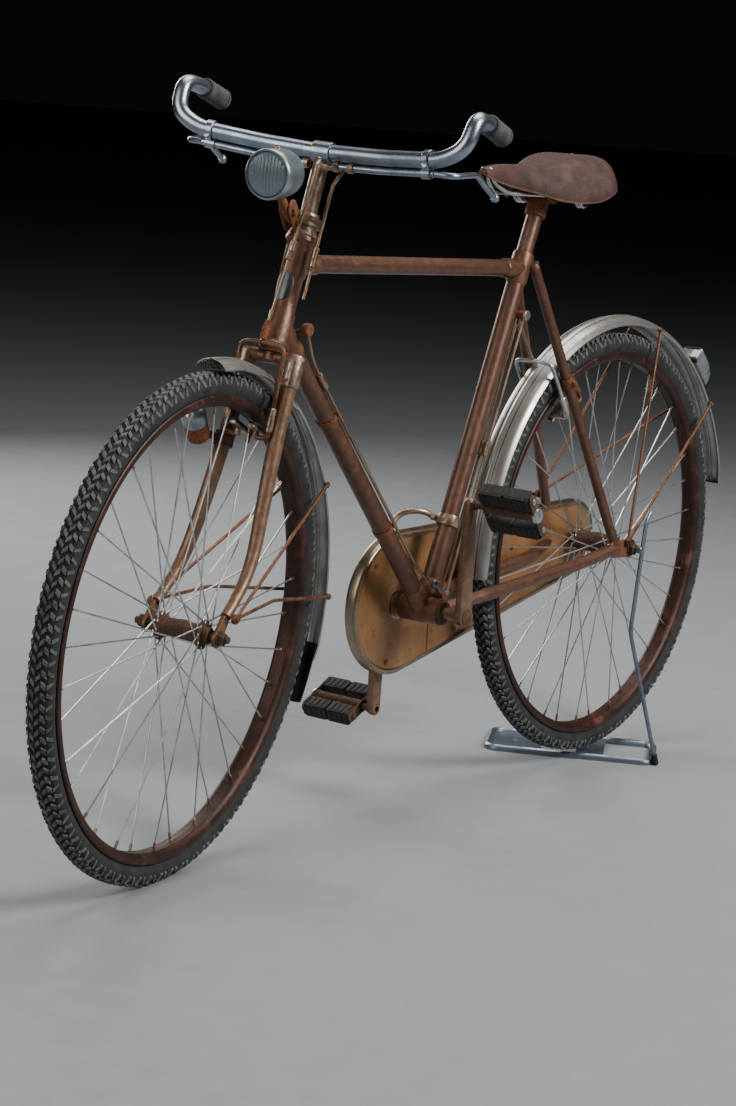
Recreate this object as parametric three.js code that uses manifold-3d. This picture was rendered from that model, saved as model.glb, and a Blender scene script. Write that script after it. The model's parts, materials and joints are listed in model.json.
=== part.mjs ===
// An old rusty gentleman's roadster bicycle: rod brakes, full chain case, leather saddle, bottle dynamo,
// and the floor stand that holds its rear wheel.
// Millimetres. X is forward, Y is to the rider's left, Z is up.
import * as THREE from "three";
import { mergeVertices } from "three/addons/utils/BufferGeometryUtils.js";
import Module from "manifold-3d";

const wasm = await Module();
wasm.setup();

// Gaps
const FIT = 0.3; // between pieces that touch
const RUN = 0.6; // round a turning spindle
const WELD = 1e-4;
const ROUND_SIDES = 12; // flat faces round a tube

// Wheels
const WHEELBASE = 1065;
const TYRE_OUTER = 348; // radius over the tread
const TYRE_WIDTH = 37;
const TYRE_STEPS = 48;
const RIM_EDGE = 317; // radius of the rim's outer edge
const RIM_INNER = 302;
const RIM_WIDTH = 31;
const SPOKE_COUNT = 36;
const SPOKE_RADIUS = 1.2;
const SPOKE_CROSS = 0.95; // radians between a spoke's two ends
const HUB_FLANGE = 20; // radius
const HUB_HALF = 32; // from the middle to each flange
const AXLE_RADIUS = 5;

// Frame
const BB_X = 490;
const BB_Z = 299;
const SEAT_ANGLE = THREE.MathUtils.degToRad(68.3);
const HEAD_ANGLE = THREE.MathUtils.degToRad(71.5);
const FORK_RAKE = 52;
const HEAD_LOW = 402; // places along the steering axis, from the point nearest to the front axle
const TOP_TUBE_ON_HEAD = 522;
const HEAD_HIGH = TOP_TUBE_ON_HEAD + 38;
const DOWN_TUBE_ON_HEAD = HEAD_LOW + 32;
const SEAT_TUBE_LENGTH = 570;
const TOP_TUBE_ON_SEAT = SEAT_TUBE_LENGTH - 24; // along the seat tube from the bottom bracket
const TOP_TUBE_RADIUS = 12.7;
const MAIN_TUBE_RADIUS = 14.3;
const HEAD_TUBE_RADIUS = 16;
const LUG_WALL = 2.2;
const LUG_LENGTH = 30;
const STEERER_RADIUS = 12.5;
const BB_RADIUS = 20.5;
const BB_HALF = 35;
const BB_AXLE_RADIUS = 8.5;
const CHAIN_STAY_RADIUS = 10;
const SEAT_STAY_RADIUS = 8.2;
const DROPOUT_Y = 60; // inner face of each rear dropout plate
const DROPOUT_THICK = 6;
const REAR_AXLE_HALF = 80;
const SEAT_POST_RADIUS = 12.6;
const SEAT_POST_TOP = SEAT_TUBE_LENGTH + 85; // along the seat tube's line

// Fork
const BLADE_RADIUS = 11;
const BLADE_TIP_RADIUS = 7.5;
const BLADE_Y = 37;
const FORK_END_Y = 54;
const FRONT_AXLE_HALF = 72;
const CROWN_LOW = 378;
const CROWN_HIGH = 398;

// Steering
const STEER_AT_REST = THREE.MathUtils.degToRad(10); // parked turned a little to the left
const BAR_RADIUS = 11;
const BAR_T = HEAD_HIGH + 121; // height of the bar's middle along the steering axis
const BAR_HALF = 221; // to the middle of a grip
const BAR_RISE = 75; // from its middle to the grips
const GRIP_RADIUS = 15;
const LEVER_TUBE_RADIUS = 5;

// Cranks and pedals
const CRANK_LENGTH = 170;
const CRANK_Y = 66; // inner face of the left arm
const CRANK_RIGHT_Y = 74;
const CRANK_THICK = 13;
const PEDAL_LENGTH = 92;
const PEDAL_Y = 100; // inner end of the left pedal
const PEDAL_BLOCK = 24; // thickness of a rubber block
const PEDAL_TILT = { left: -0.95, right: 0.45 }; // radians at rest, nose down

// Chain case
const CASE_FRONT_RADIUS = 110;
const CASE_REAR_RADIUS = 64;
const CASE_INNER_Y = -46;
const CASE_THICK = 22;

// Mudguards
const GUARD_HALF = 26;
const GUARD_DEPTH = 14;
const GUARD_WALL = 1.4;
const FRONT_GUARD_RADIUS = 369;
const REAR_GUARD_RADIUS = 377;
const STAY_RADIUS = 2.6;

// Brake rods
const ROD_RADIUS = 3;

// Saddle
const SADDLE_AHEAD = 163; // from the clamp to the nose
const SADDLE_LENGTH = 262;
const LEATHER = 4.5;

// Stand
const STAND_LIFT = 15; // how high the rear tyre hangs above the floor
const STAND_HEIGHT = 10;
const STAND_LENGTH = 287;
const STAND_WIDTH = 142;
const STAND_RIM = 14; // width of the raised rim
const STAND_TURN = THREE.MathUtils.degToRad(118.5);
const STAND_CENTRE = [-27, -34];

const V = (x, y, z) => new THREE.Vector3(x, y, z);
const mirrored = (p) => V(p.x, -p.y, p.z);
const both = [
  { side: "left", s: 1 },
  { side: "right", s: -1 },
];

// Solids

function solid(geometry) {
  const plain = new THREE.BufferGeometry();
  plain.setAttribute("position", geometry.getAttribute("position"));
  if (geometry.index) plain.setIndex(geometry.index);
  const welded = mergeVertices(plain, WELD);
  const corner = welded.index.array;
  const at = welded.attributes.position.array;
  const faces = [];
  let sixfold = 0;
  for (let i = 0; i < corner.length; i += 3) {
    const [a, b, c] = [corner[i], corner[i + 1], corner[i + 2]];
    if (a === b || b === c || c === a) continue;
    faces.push(a, b, c);
    const [p, q, r] = [a, b, c].map((k) => V(at[3 * k], at[3 * k + 1], at[3 * k + 2]));
    sixfold += p.dot(q.cross(r));
  }
  if (sixfold < 0) {
    for (let i = 0; i < faces.length; i += 3) {
      [faces[i], faces[i + 1]] = [faces[i + 1], faces[i]];
    }
  }
  return new wasm.Manifold(
    new wasm.Mesh({
      numProp: 3,
      vertProperties: new Float32Array(at),
      triVerts: new Uint32Array(faces),
    }),
  );
}

function join(...pieces) {
  return pieces.flat().reduce((all, piece) => all.add(piece));
}

function cut(piece, ...tools) {
  return tools.flat().reduce((rest, tool) => rest.subtract(tool), piece);
}

function toGeometry(made) {
  const { numProp, vertProperties, triVerts } = made.getMesh();
  const count = vertProperties.length / numProp;
  const positions = new Float32Array(count * 3);
  for (let i = 0; i < count; i++) {
    positions.set(vertProperties.subarray(i * numProp, i * numProp + 3), i * 3);
  }
  const geometry = new THREE.BufferGeometry();
  geometry.setAttribute("position", new THREE.BufferAttribute(positions, 3));
  geometry.setIndex(new THREE.BufferAttribute(new Uint32Array(triVerts), 1));
  geometry.computeVertexNormals();
  return geometry;
}

function roundShape(radius, sides) {
  const points = [];
  for (let i = 0; i < sides; i++) {
    const turn = (2 * Math.PI * (i + 0.5)) / sides;
    points.push(new THREE.Vector2(radius * Math.cos(turn), radius * Math.sin(turn)));
  }
  return new THREE.Shape(points);
}

// A path through points whose corners are rounded, sampled only where it bends.
class BentPath extends THREE.Curve {
  constructor(points, bend, bendSteps) {
    super();
    this.stops = [points[0]];
    for (let i = 1; i < points.length - 1; i++) {
      const [before, here, after] = [points[i - 1], points[i], points[i + 1]];
      const reach = Math.min(bend, 0.48 * here.distanceTo(before), 0.48 * here.distanceTo(after));
      const from = here.clone().lerp(before, reach / here.distanceTo(before));
      const to = here.clone().lerp(after, reach / here.distanceTo(after));
      const corner = new THREE.QuadraticBezierCurve3(from, here, to);
      this.stops.push(...corner.getPoints(bendSteps));
    }
    this.stops.push(points[points.length - 1]);
  }

  getPoint(t) {
    const place = t * (this.stops.length - 1);
    const i = Math.min(Math.floor(place + 1e-9), this.stops.length - 2);
    return this.stops[i].clone().lerp(this.stops[i + 1], place - i);
  }

  getPointAt(u) {
    return this.getPoint(u);
  }

  getTangentAt(u) {
    const i = Math.round(u * (this.stops.length - 1));
    const way = V(0, 0, 0);
    if (i > 0) way.add(this.stops[i].clone().sub(this.stops[i - 1]).normalize());
    if (i < this.stops.length - 1) way.add(this.stops[i + 1].clone().sub(this.stops[i]).normalize());
    return way.normalize();
  }
}

function tube(points, radius, { sides = 12, bend = 20, bendSteps = 3 } = {}) {
  const path = new BentPath(points, bend, bendSteps);
  const options = { steps: path.stops.length - 1, bevelEnabled: false, extrudePath: path };
  return solid(new THREE.ExtrudeGeometry(roundShape(radius, sides), options));
}

// A closed body through rings of equally many points.
function loft(rings) {
  const count = rings[0].length;
  const flat = rings[0].map((p) => p.clone());
  const axisX = flat[1].clone().sub(flat[0]).normalize();
  const normal = V(0, 0, 0);
  flat.forEach((p, i) => {
    const next = flat[(i + 1) % count].clone().sub(flat[0]);
    normal.add(p.clone().sub(flat[0]).cross(next));
  });
  const axisY = normal.normalize().clone().cross(axisX);
  const onPlane = flat.map((p) => new THREE.Vector2(p.dot(axisX), p.dot(axisY)));
  const cap = THREE.ShapeUtils.triangulateShape(onPlane, []);
  const positions = rings.flat().flatMap((p) => [p.x, p.y, p.z]);
  const index = [];
  for (let r = 0; r < rings.length - 1; r++) {
    for (let i = 0; i < count; i++) {
      const j = (i + 1) % count;
      const [a, b, c, d] = [r * count + i, r * count + j, (r + 1) * count + j, (r + 1) * count + i];
      index.push(a, b, c, a, c, d);
    }
  }
  const last = (rings.length - 1) * count;
  for (const [a, b, c] of cap) {
    index.push(a, c, b, last + a, last + b, last + c);
  }
  const geometry = new THREE.BufferGeometry();
  geometry.setAttribute("position", new THREE.Float32BufferAttribute(positions, 3));
  geometry.setIndex(index);
  return solid(geometry);
}

// A round tube whose radius changes from point to point.
function taper(points, radii, sides = 12) {
  const path = new BentPath(points, 0, 1);
  const steps = points.length - 1;
  path.stops = points;
  const { normals, binormals } = path.computeFrenetFrames(steps, false);
  return loft(
    points.map((p, i) =>
      Array.from({ length: sides }, (_, k) => {
        const turn = (2 * Math.PI * k) / sides;
        return p
          .clone()
          .addScaledVector(normals[i], radii[i] * Math.cos(turn))
          .addScaledVector(binormals[i], radii[i] * Math.sin(turn));
      }),
    ),
  );
}

// A body turned about the Y axis, from [radius, y] pairs; closed is for a ring.
function turned(profile, { sides = 24, closed = false, offset = 0 } = {}) {
  const points = profile.map(([radius, y]) => new THREE.Vector2(radius, y));
  if (closed) points.push(points[0].clone());
  return solid(new THREE.LatheGeometry(points, sides, offset));
}

function placed(made, position, direction) {
  const turn = new THREE.Quaternion().setFromUnitVectors(V(0, 1, 0), direction.clone().normalize());
  const matrix = new THREE.Matrix4().compose(position, turn, V(1, 1, 1));
  return made.transform(matrix.elements);
}

function cylinder(from, to, radius, sides = ROUND_SIDES) {
  const length = from.distanceTo(to);
  const made = solid(new THREE.CylinderGeometry(radius, radius, length, sides));
  return placed(made, from.clone().add(to).multiplyScalar(0.5), to.clone().sub(from));
}

function box(low, high) {
  const size = high.clone().sub(low);
  const centre = low.clone().add(high).multiplyScalar(0.5);
  return solid(new THREE.BoxGeometry(size.x, size.y, size.z)).translate(centre.toArray());
}

// A plate with a flat outline in X and Z, from yLow to yHigh.
function plate(shape, yLow, yHigh, bevel = 0, bevelSegments = 2) {
  const options = {
    depth: yHigh - yLow - 2 * bevel,
    bevelEnabled: bevel > 0,
    bevelThickness: bevel,
    bevelSize: bevel,
    bevelOffset: -bevel,
    bevelSegments,
  };
  const geometry = new THREE.ExtrudeGeometry(shape, options);
  geometry.rotateX(Math.PI / 2);
  geometry.translate(0, yHigh - bevel, 0);
  return solid(geometry);
}

// The outline of two circles of different size and the lines that touch both.
function linkShape(a, ra, b, rb, steps = 14) {
  const way = Math.atan2(b.z - a.z, b.x - a.x);
  const lean = Math.acos((ra - rb) / Math.hypot(b.x - a.x, b.z - a.z));
  const points = [];
  for (let i = 0; i <= steps; i++) {
    const turn = way + lean + ((2 * Math.PI - 2 * lean) * i) / steps;
    points.push(new THREE.Vector2(a.x + ra * Math.cos(turn), a.z + ra * Math.sin(turn)));
  }
  for (let i = 0; i <= steps; i++) {
    const turn = way - lean + (2 * lean * i) / steps;
    points.push(new THREE.Vector2(b.x + rb * Math.cos(turn), b.z + rb * Math.sin(turn)));
  }
  return new THREE.Shape(points);
}

// Places

const WHEEL_Z = TYRE_OUTER * Math.cos(Math.PI / TYRE_STEPS); // a flat of the faceted tyre meets the floor
const rearHub = V(0, 0, WHEEL_Z);
const frontHub = V(WHEELBASE, 0, WHEEL_Z);
const bracket = V(BB_X, 0, BB_Z);
const seatWay = V(-Math.cos(SEAT_ANGLE), 0, Math.sin(SEAT_ANGLE));
const seatBack = V(-Math.sin(SEAT_ANGLE), 0, -Math.cos(SEAT_ANGLE));
const headWay = V(-Math.cos(HEAD_ANGLE), 0, Math.sin(HEAD_ANGLE));
const headFront = V(Math.sin(HEAD_ANGLE), 0, Math.cos(HEAD_ANGLE));
const PITCH = Math.asin(STAND_LIFT / WHEELBASE);
const pitched = (p) => p.clone().applyAxisAngle(V(0, 1, 0), PITCH);
const axisFoot = frontHub.clone().addScaledVector(headFront, -FORK_RAKE);

// A place by the steering axis: up along it, forward of it, and to the left.
function onHead(up, front = 0, left = 0) {
  return axisFoot.clone().addScaledVector(headWay, up).addScaledVector(headFront, front).add(V(0, left, 0));
}

// A place by the seat tube: up along it from the bottom bracket, behind it, and to the left.
function onSeat(up, back = 0, left = 0) {
  return bracket.clone().addScaledVector(seatWay, up).addScaledVector(seatBack, back).add(V(0, left, 0));
}

function onWheel(hub, radius, degrees, y = 0) {
  const turn = THREE.MathUtils.degToRad(degrees);
  return hub.clone().add(V(radius * Math.cos(turn), y, radius * Math.sin(turn)));
}

const headForTop = onHead(TOP_TUBE_ON_HEAD);
const seatForTop = onSeat(TOP_TUBE_ON_SEAT);
const headForDown = onHead(DOWN_TUBE_ON_HEAD);

// Materials

const paint = (color, roughness, metalness) => (
  new THREE.MeshStandardMaterial({ color, roughness, metalness })
);
const materials = {
  rustedTube: paint(0x7a5546, 0.75, 0.35),
  rustedSteel: paint(0x8a5c3c, 0.8, 0.3),
  dullChrome: paint(0x8d97a3, 0.35, 0.9),
  brightSteel: paint(0xb9bcc0, 0.3, 0.9),
  guardMetal: paint(0xb3afa6, 0.4, 0.85),
  rustedRim: paint(0x6f4638, 0.6, 0.5),
  casePaint: paint(0xa98760, 0.6, 0.3),
  tyreRubber: paint(0x4b4f50, 0.9, 0),
  blackRubber: paint(0x1d1c1b, 0.85, 0),
  gripRubber: paint(0x66645f, 0.8, 0),
  leather: paint(0x7b4a40, 0.55, 0),
  lampSilver: paint(0xb5bfc4, 0.35, 0.8),
  lensGlass: paint(0xcfd6d6, 0.15, 0),
  standZinc: paint(0x8a929a, 0.45, 0.8),
};

// Groups: what turns has its own, with its origin on its axis

const bicycle = new THREE.Group();
const machine = new THREE.Group();
const frame = new THREE.Group();
const steering = new THREE.Group();
const steeringPieces = new THREE.Group();
const frontWheel = new THREE.Group();
const rearWheel = new THREE.Group();
const cranks = new THREE.Group();
bicycle.add(machine);
machine.add(frame, steering, rearWheel, cranks);
machine.rotation.y = PITCH;
steering.position.copy(axisFoot);
steering.quaternion.setFromAxisAngle(headWay, STEER_AT_REST);
steeringPieces.position.copy(axisFoot).negate();
steering.add(steeringPieces);
steeringPieces.add(frontWheel);
frontWheel.position.copy(frontHub);
frontWheel.rotation.y = -PITCH; // so that a flat of the faceted tyre meets the floor
rearWheel.position.copy(rearHub);
cranks.position.copy(bracket);

function add(group, name, material, made) {
  const mesh = new THREE.Mesh(toGeometry(made), material);
  mesh.name = name;
  group.add(mesh);
  return made;
}

// Wheels: a tyre, a channel rim, and a hub with its crossed spokes

function tyre() {
  const half = TYRE_WIDTH / 2;
  const tread = TYRE_OUTER;
  const side = [
    [RIM_INNER + 7.5, 10.5],
    [RIM_EDGE + 12, half],
    [tread - 9, half - 1.5],
    [tread - 2.5, half - 7.5],
  ];
  const profile = [...side, [tread, 0], ...side.toReversed().map(([radius, y]) => [radius, -y])];
  return turned(profile, { sides: TYRE_STEPS, closed: true, offset: Math.PI / TYRE_STEPS });
}

function rim() {
  const half = RIM_WIDTH / 2;
  const side = [
    [RIM_INNER, 7],
    [RIM_INNER + 4, half],
    [RIM_EDGE, half - 1.4],
    [RIM_INNER + 6.6, half - 4.4],
  ];
  const profile = [...side, ...side.toReversed().map(([radius, y]) => [radius, -y])];
  return turned(profile, { sides: TYRE_STEPS, closed: true, offset: Math.PI / TYRE_STEPS });
}

const SPOKE_REACH = RIM_INNER * Math.cos(Math.PI / TYRE_STEPS) - FIT - SPOKE_RADIUS / 4;

function spokes() {
  const made = [];
  for (let i = 0; i < SPOKE_COUNT; i++) {
    const side = i % 2 ? 1 : -1;
    const lead = Math.floor(i / 2) % 2 ? 1 : -1;
    const end = (2 * Math.PI * (i + 0.5)) / SPOKE_COUNT;
    const start = end + lead * SPOKE_CROSS;
    const flangeY = side * (HUB_HALF + 1.6 * lead);
    const from = V((HUB_FLANGE - 3) * Math.cos(start), flangeY, (HUB_FLANGE - 3) * Math.sin(start));
    const to = V(SPOKE_REACH * Math.cos(end), side * 3, SPOKE_REACH * Math.sin(end));
    made.push(tube([from, to], SPOKE_RADIUS, { sides: 3 }));
  }
  return made;
}

function hub(barrel) {
  const half = HUB_HALF + 2.5;
  const shell = turned(
    [
      [AXLE_RADIUS + RUN, -half - 9],
      [11, -half - 9],
      [12, -half],
      [HUB_FLANGE, -half],
      [HUB_FLANGE, -half + 5],
      [barrel, -half + 8],
      [barrel, half - 8],
      [HUB_FLANGE, half - 5],
      [HUB_FLANGE, half],
      [12, half],
      [11, half + 9],
      [AXLE_RADIUS + RUN, half + 9],
    ],
    { sides: 12, closed: true },
  );
  return join(shell, spokes());
}

for (const { group, name, barrel } of [
  { group: frontWheel, name: "front", barrel: 13 },
  { group: rearWheel, name: "rear", barrel: 16 },
]) {
  add(group, `${name}_tyre`, materials.tyreRubber, tyre());
  add(group, `${name}_rim`, materials.rustedRim, rim());
  add(group, `${name}_hub_and_spokes`, materials.brightSteel, hub(barrel));
}

function axle(hubCentre, half, nutInner, nutOuter) {
  const ends = [-half, half].map((y) => hubCentre.clone().add(V(0, y, 0)));
  const rod = cylinder(...ends, AXLE_RADIUS, 12);
  const nuts = both.map(({ s }) => {
    const inner = hubCentre.clone().add(V(0, s * nutInner, 0));
    const outer = hubCentre.clone().add(V(0, s * nutOuter, 0));
    return cylinder(inner, outer, 10, 6);
  });
  return join(rod, nuts);
}

// Frame: tubes in lugs

function sleeve(from, way, length, radius) {
  return cylinder(from, from.clone().addScaledVector(way, length), radius);
}

const topWay = seatForTop.clone().sub(headForTop).normalize();
const downWay = bracket.clone().sub(headForDown).normalize();
const LUG_REACH = HEAD_TUBE_RADIUS + LUG_WALL + LUG_LENGTH;

function tubeRoom(from, to, radius) {
  return cylinder(from, to, radius + FIT);
}

const topTubeRoom = tubeRoom(headForTop, seatForTop, TOP_TUBE_RADIUS);
const downTubeRoom = tubeRoom(headForDown, bracket, MAIN_TUBE_RADIUS);
const headRoom = cylinder(onHead(HEAD_LOW - 30), onHead(HEAD_HIGH + 30), HEAD_TUBE_RADIUS + LUG_WALL + FIT);
const headCore = cylinder(onHead(HEAD_LOW - 30), onHead(HEAD_HIGH + 30), HEAD_TUBE_RADIUS);
const steererRoom = cylinder(onHead(HEAD_LOW - 30), onHead(HEAD_HIGH + 30), STEERER_RADIUS + RUN);

function headTube() {
  const body = cylinder(onHead(HEAD_LOW), onHead(HEAD_HIGH), HEAD_TUBE_RADIUS);
  const collars = [
    cylinder(onHead(HEAD_LOW), onHead(HEAD_LOW + 9), HEAD_TUBE_RADIUS + 6),
    cylinder(onHead(HEAD_HIGH - 9), onHead(HEAD_HIGH), HEAD_TUBE_RADIUS + 6),
    cylinder(onHead(DOWN_TUBE_ON_HEAD - 26), onHead(DOWN_TUBE_ON_HEAD + 20), HEAD_TUBE_RADIUS + LUG_WALL),
    cylinder(onHead(TOP_TUBE_ON_HEAD - 18), onHead(TOP_TUBE_ON_HEAD + 22), HEAD_TUBE_RADIUS + LUG_WALL),
  ];
  const sockets = [
    sleeve(headForTop, topWay, LUG_REACH, TOP_TUBE_RADIUS + LUG_WALL),
    sleeve(headForDown, downWay, LUG_REACH + 6, MAIN_TUBE_RADIUS + LUG_WALL),
  ];
  const bores = [
    cut(topTubeRoom, headCore),
    cut(downTubeRoom, headCore),
    steererRoom,
  ];
  return cut(join(body, collars, sockets), bores);
}

const seatTop = onSeat(SEAT_TUBE_LENGTH);
const seatLugRoom = cylinder(onSeat(TOP_TUBE_ON_SEAT - 22 - FIT), onSeat(SEAT_TUBE_LENGTH + FIT),
  MAIN_TUBE_RADIUS + LUG_WALL + FIT);
const seatCore = cylinder(bracket, seatTop, MAIN_TUBE_RADIUS);

function seatTube() {
  const body = cylinder(onSeat(BB_RADIUS + LUG_WALL), seatTop, MAIN_TUBE_RADIUS);
  const lug = cylinder(onSeat(TOP_TUBE_ON_SEAT - 22), seatTop, MAIN_TUBE_RADIUS + LUG_WALL);
  const socket = sleeve(seatForTop, topWay.clone().negate(), LUG_REACH, TOP_TUBE_RADIUS + LUG_WALL);
  const bore = cylinder(onSeat(SEAT_TUBE_LENGTH - 70), onSeat(SEAT_TUBE_LENGTH + 10), SEAT_POST_RADIUS + FIT);
  return cut(join(body, lug, socket), cut(topTubeRoom, seatCore), bore, bracketRoom, downTubeRoom);
}

const bracketRoom = cylinder(bracket.clone().add(V(0, -BB_HALF, 0)), bracket.clone().add(V(0, BB_HALF, 0)),
  BB_RADIUS + FIT);

function bracketShell() {
  const ends = [-BB_HALF, BB_HALF].map((y) => bracket.clone().add(V(0, y, 0)));
  const shell = cylinder(...ends, BB_RADIUS);
  const lugs = [
    sleeve(bracket, downWay.clone().negate(), BB_RADIUS + 28, MAIN_TUBE_RADIUS + LUG_WALL),
    sleeve(bracket, seatWay, BB_RADIUS + 26, MAIN_TUBE_RADIUS + LUG_WALL),
  ];
  const core = cylinder(bracket.clone().add(V(0, -BB_HALF, 0)), bracket.clone().add(V(0, BB_HALF, 0)),
    BB_RADIUS - FIT);
  const seatRoom = tubeRoom(bracket, seatTop, MAIN_TUBE_RADIUS);
  const bore = cylinder(bracket.clone().add(V(0, -BB_HALF - 1, 0)), bracket.clone().add(V(0, BB_HALF + 1, 0)),
    BB_AXLE_RADIUS + RUN);
  const rooms = [cut(downTubeRoom, core), cut(seatRoom, core)];
  return cut(join(shell, lugs), rooms, bore);
}

function topTube() {
  const body = cylinder(headForTop, seatForTop, TOP_TUBE_RADIUS);
  const seatFace = cylinder(onSeat(-10), onSeat(SEAT_TUBE_LENGTH + 10), MAIN_TUBE_RADIUS + FIT);
  const headFace = cylinder(onHead(HEAD_LOW - 30), onHead(HEAD_HIGH + 30), HEAD_TUBE_RADIUS + FIT);
  return cut(body, seatFace, headFace);
}

function downTube() {
  const body = cylinder(headForDown, bracket, MAIN_TUBE_RADIUS);
  const headFace = cylinder(onHead(HEAD_LOW - 30), onHead(HEAD_HIGH + 30), HEAD_TUBE_RADIUS + FIT);
  return cut(body, headFace, bracketRoom);
}

// Chain stays end in the dropout plates that hold the rear axle

function dropout(s, grow = 0) {
  const shape = linkShape({ x: 48, z: WHEEL_Z + 4 }, 15 + grow, { x: -4, z: WHEEL_Z }, 15 + grow, 8);
  const inner = DROPOUT_Y - grow;
  const outer = DROPOUT_Y + DROPOUT_THICK + grow;
  return s > 0 ? plate(shape, inner, outer) : plate(shape, -outer, -inner);
}

function chainStayTube(s, radius) {
  const bow = s > 0 ? 38 : 33;
  const far = s > 0 ? 52 : 35;
  const points = [
    V(BB_X - 4, s * 24, BB_Z + 2),
    V(BB_X - 100, s * bow, BB_Z + 13),
    V(130, s * far, BB_Z + 36),
    V(52, s * (DROPOUT_Y + 1), WHEEL_Z + 2),
    V(40, s * (DROPOUT_Y + 2), WHEEL_Z + 3),
  ];
  return tube(points, radius, { sides: 12, bend: 25, bendSteps: 2 });
}

const axleRoom = cylinder(V(0, -100, WHEEL_Z), V(0, 100, WHEEL_Z), AXLE_RADIUS + FIT, 16);

function chainStay(s) {
  const body = join(chainStayTube(s, CHAIN_STAY_RADIUS), dropout(s));
  return cut(body, bracketRoom, axleRoom, tubeRoom(headForDown, bracket, MAIN_TUBE_RADIUS + LUG_WALL),
    tubeRoom(bracket, seatTop, MAIN_TUBE_RADIUS + LUG_WALL));
}

const seatStayLine = (s) => [
  onSeat(SEAT_TUBE_LENGTH - 14, 8, s * 18),
  V(46, s * (DROPOUT_Y + 2), WHEEL_Z + 12),
];

function seatStay(s) {
  const body = tube(seatStayLine(s), SEAT_STAY_RADIUS, { sides: 12 });
  return cut(body, seatLugRoom, chainStayTube(s, CHAIN_STAY_RADIUS + FIT), dropout(s, FIT));
}

add(frame, "head_tube", materials.rustedTube, headTube());
add(frame, "top_tube", materials.rustedTube, topTube());
add(frame, "down_tube", materials.rustedTube, downTube());
add(frame, "seat_tube", materials.rustedTube, seatTube());
add(frame, "bottom_bracket_shell", materials.rustedTube, bracketShell());
for (const { side, s } of both) {
  add(frame, `chain_stay_${side}`, materials.rustedTube, chainStay(s));
  add(frame, `seat_stay_${side}`, materials.rustedTube, seatStay(s));
}
add(frame, "seat_post", materials.rustedTube, cylinder(onSeat(SEAT_TUBE_LENGTH - 60), onSeat(SEAT_POST_TOP),
  SEAT_POST_RADIUS));
const rearAxle = axle(rearHub, REAR_AXLE_HALF, DROPOUT_Y + DROPOUT_THICK + FIT, REAR_AXLE_HALF - 5);
add(frame, "rear_axle", materials.rustedSteel, rearAxle);

// Chain case: one closed housing round the chain, slotted where the stays and the axle pass

function chainCase() {
  const front = { x: BB_X, z: BB_Z };
  const rear = { x: -5, z: WHEEL_Z };
  const outerY = CASE_INNER_Y - CASE_THICK;
  const outline = linkShape(front, CASE_FRONT_RADIUS, rear, CASE_REAR_RADIUS, 14);
  const body = plate(outline, outerY, CASE_INNER_Y, 4, 1);
  const dishEnds = [-3, 5].map((y) => V(BB_X, CASE_INNER_Y + y, BB_Z));
  const dish = cylinder(...dishEnds, CASE_FRONT_RADIUS - 14, 24);
  const spindleHole = cylinder(V(BB_X, outerY - 5, BB_Z), V(BB_X, CASE_INNER_Y + 5, BB_Z), 22);
  const nutHole = cylinder(V(0, outerY - 5, WHEEL_Z), V(0, CASE_INNER_Y + 5, WHEEL_Z), 17);
  const grown = 1.2;
  const stayLine = seatStayLine(-1);
  return cut(
    body,
    dish,
    spindleHole,
    nutHole,
    chainStayTube(-1, CHAIN_STAY_RADIUS + grown),
    dropout(-1, grown),
    tube(stayLine, SEAT_STAY_RADIUS + grown, { sides: 12 }),
  );
}

// A strap from a clip on the seat tube, arching forward and out to the case's upper edge.
function caseStrap() {
  const clipUp = 139;
  const clip = cut(
    cylinder(onSeat(clipUp - 8), onSeat(clipUp + 8), MAIN_TUBE_RADIUS + 3),
    cylinder(onSeat(clipUp - 20), onSeat(clipUp + 20), MAIN_TUBE_RADIUS + FIT),
  );
  const start = onSeat(clipUp, 0, -MAIN_TUBE_RADIUS - 5);
  const points = [
    start,
    start.clone().add(V(30, -9, 16)),
    V(BB_X + 2, CASE_INNER_Y - 8, BB_Z + CASE_FRONT_RADIUS + 30),
    V(BB_X + 24, CASE_INNER_Y - 11, BB_Z + CASE_FRONT_RADIUS - 2),
  ];
  const strap = tube(points, 5, { sides: 8, bend: 26, bendSteps: 3 });
  const caseRoom = cylinder(V(BB_X, -80, BB_Z), V(BB_X, -30, BB_Z), CASE_FRONT_RADIUS + FIT, 48);
  return cut(join(clip, strap), caseRoom, cylinder(bracket, seatTop, MAIN_TUBE_RADIUS + FIT));
}

add(frame, "chain_case", materials.casePaint, chainCase());
add(frame, "chain_case_strap", materials.rustedSteel, caseStrap());

// Cranks: a spindle with an arm up on the left and one down on the right, and their pedal pins

function crankset() {
  const spindleEnds = [-CRANK_RIGHT_Y - CRANK_THICK, CRANK_Y + CRANK_THICK].map((y) => V(0, y, 0));
  const spindle = cylinder(...spindleEnds, BB_AXLE_RADIUS, 16);
  const arms = both.map(({ s }) => {
    const inner = s > 0 ? CRANK_Y : CRANK_RIGHT_Y;
    const shape = linkShape({ x: 0, z: 0 }, 15.5, { x: 0, z: s * CRANK_LENGTH }, 10.5, 8);
    return s > 0 ? plate(shape, inner, inner + CRANK_THICK) : plate(shape, -inner - CRANK_THICK, -inner);
  });
  const pins = both.map(({ s }) => {
    const inner = s > 0 ? CRANK_Y : CRANK_RIGHT_Y;
    const outer = PEDAL_Y + PEDAL_LENGTH - 8;
    return cylinder(V(0, s * inner, s * CRANK_LENGTH), V(0, s * outer, s * CRANK_LENGTH), 5, 12);
  });
  return join(spindle, arms, pins);
}

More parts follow.
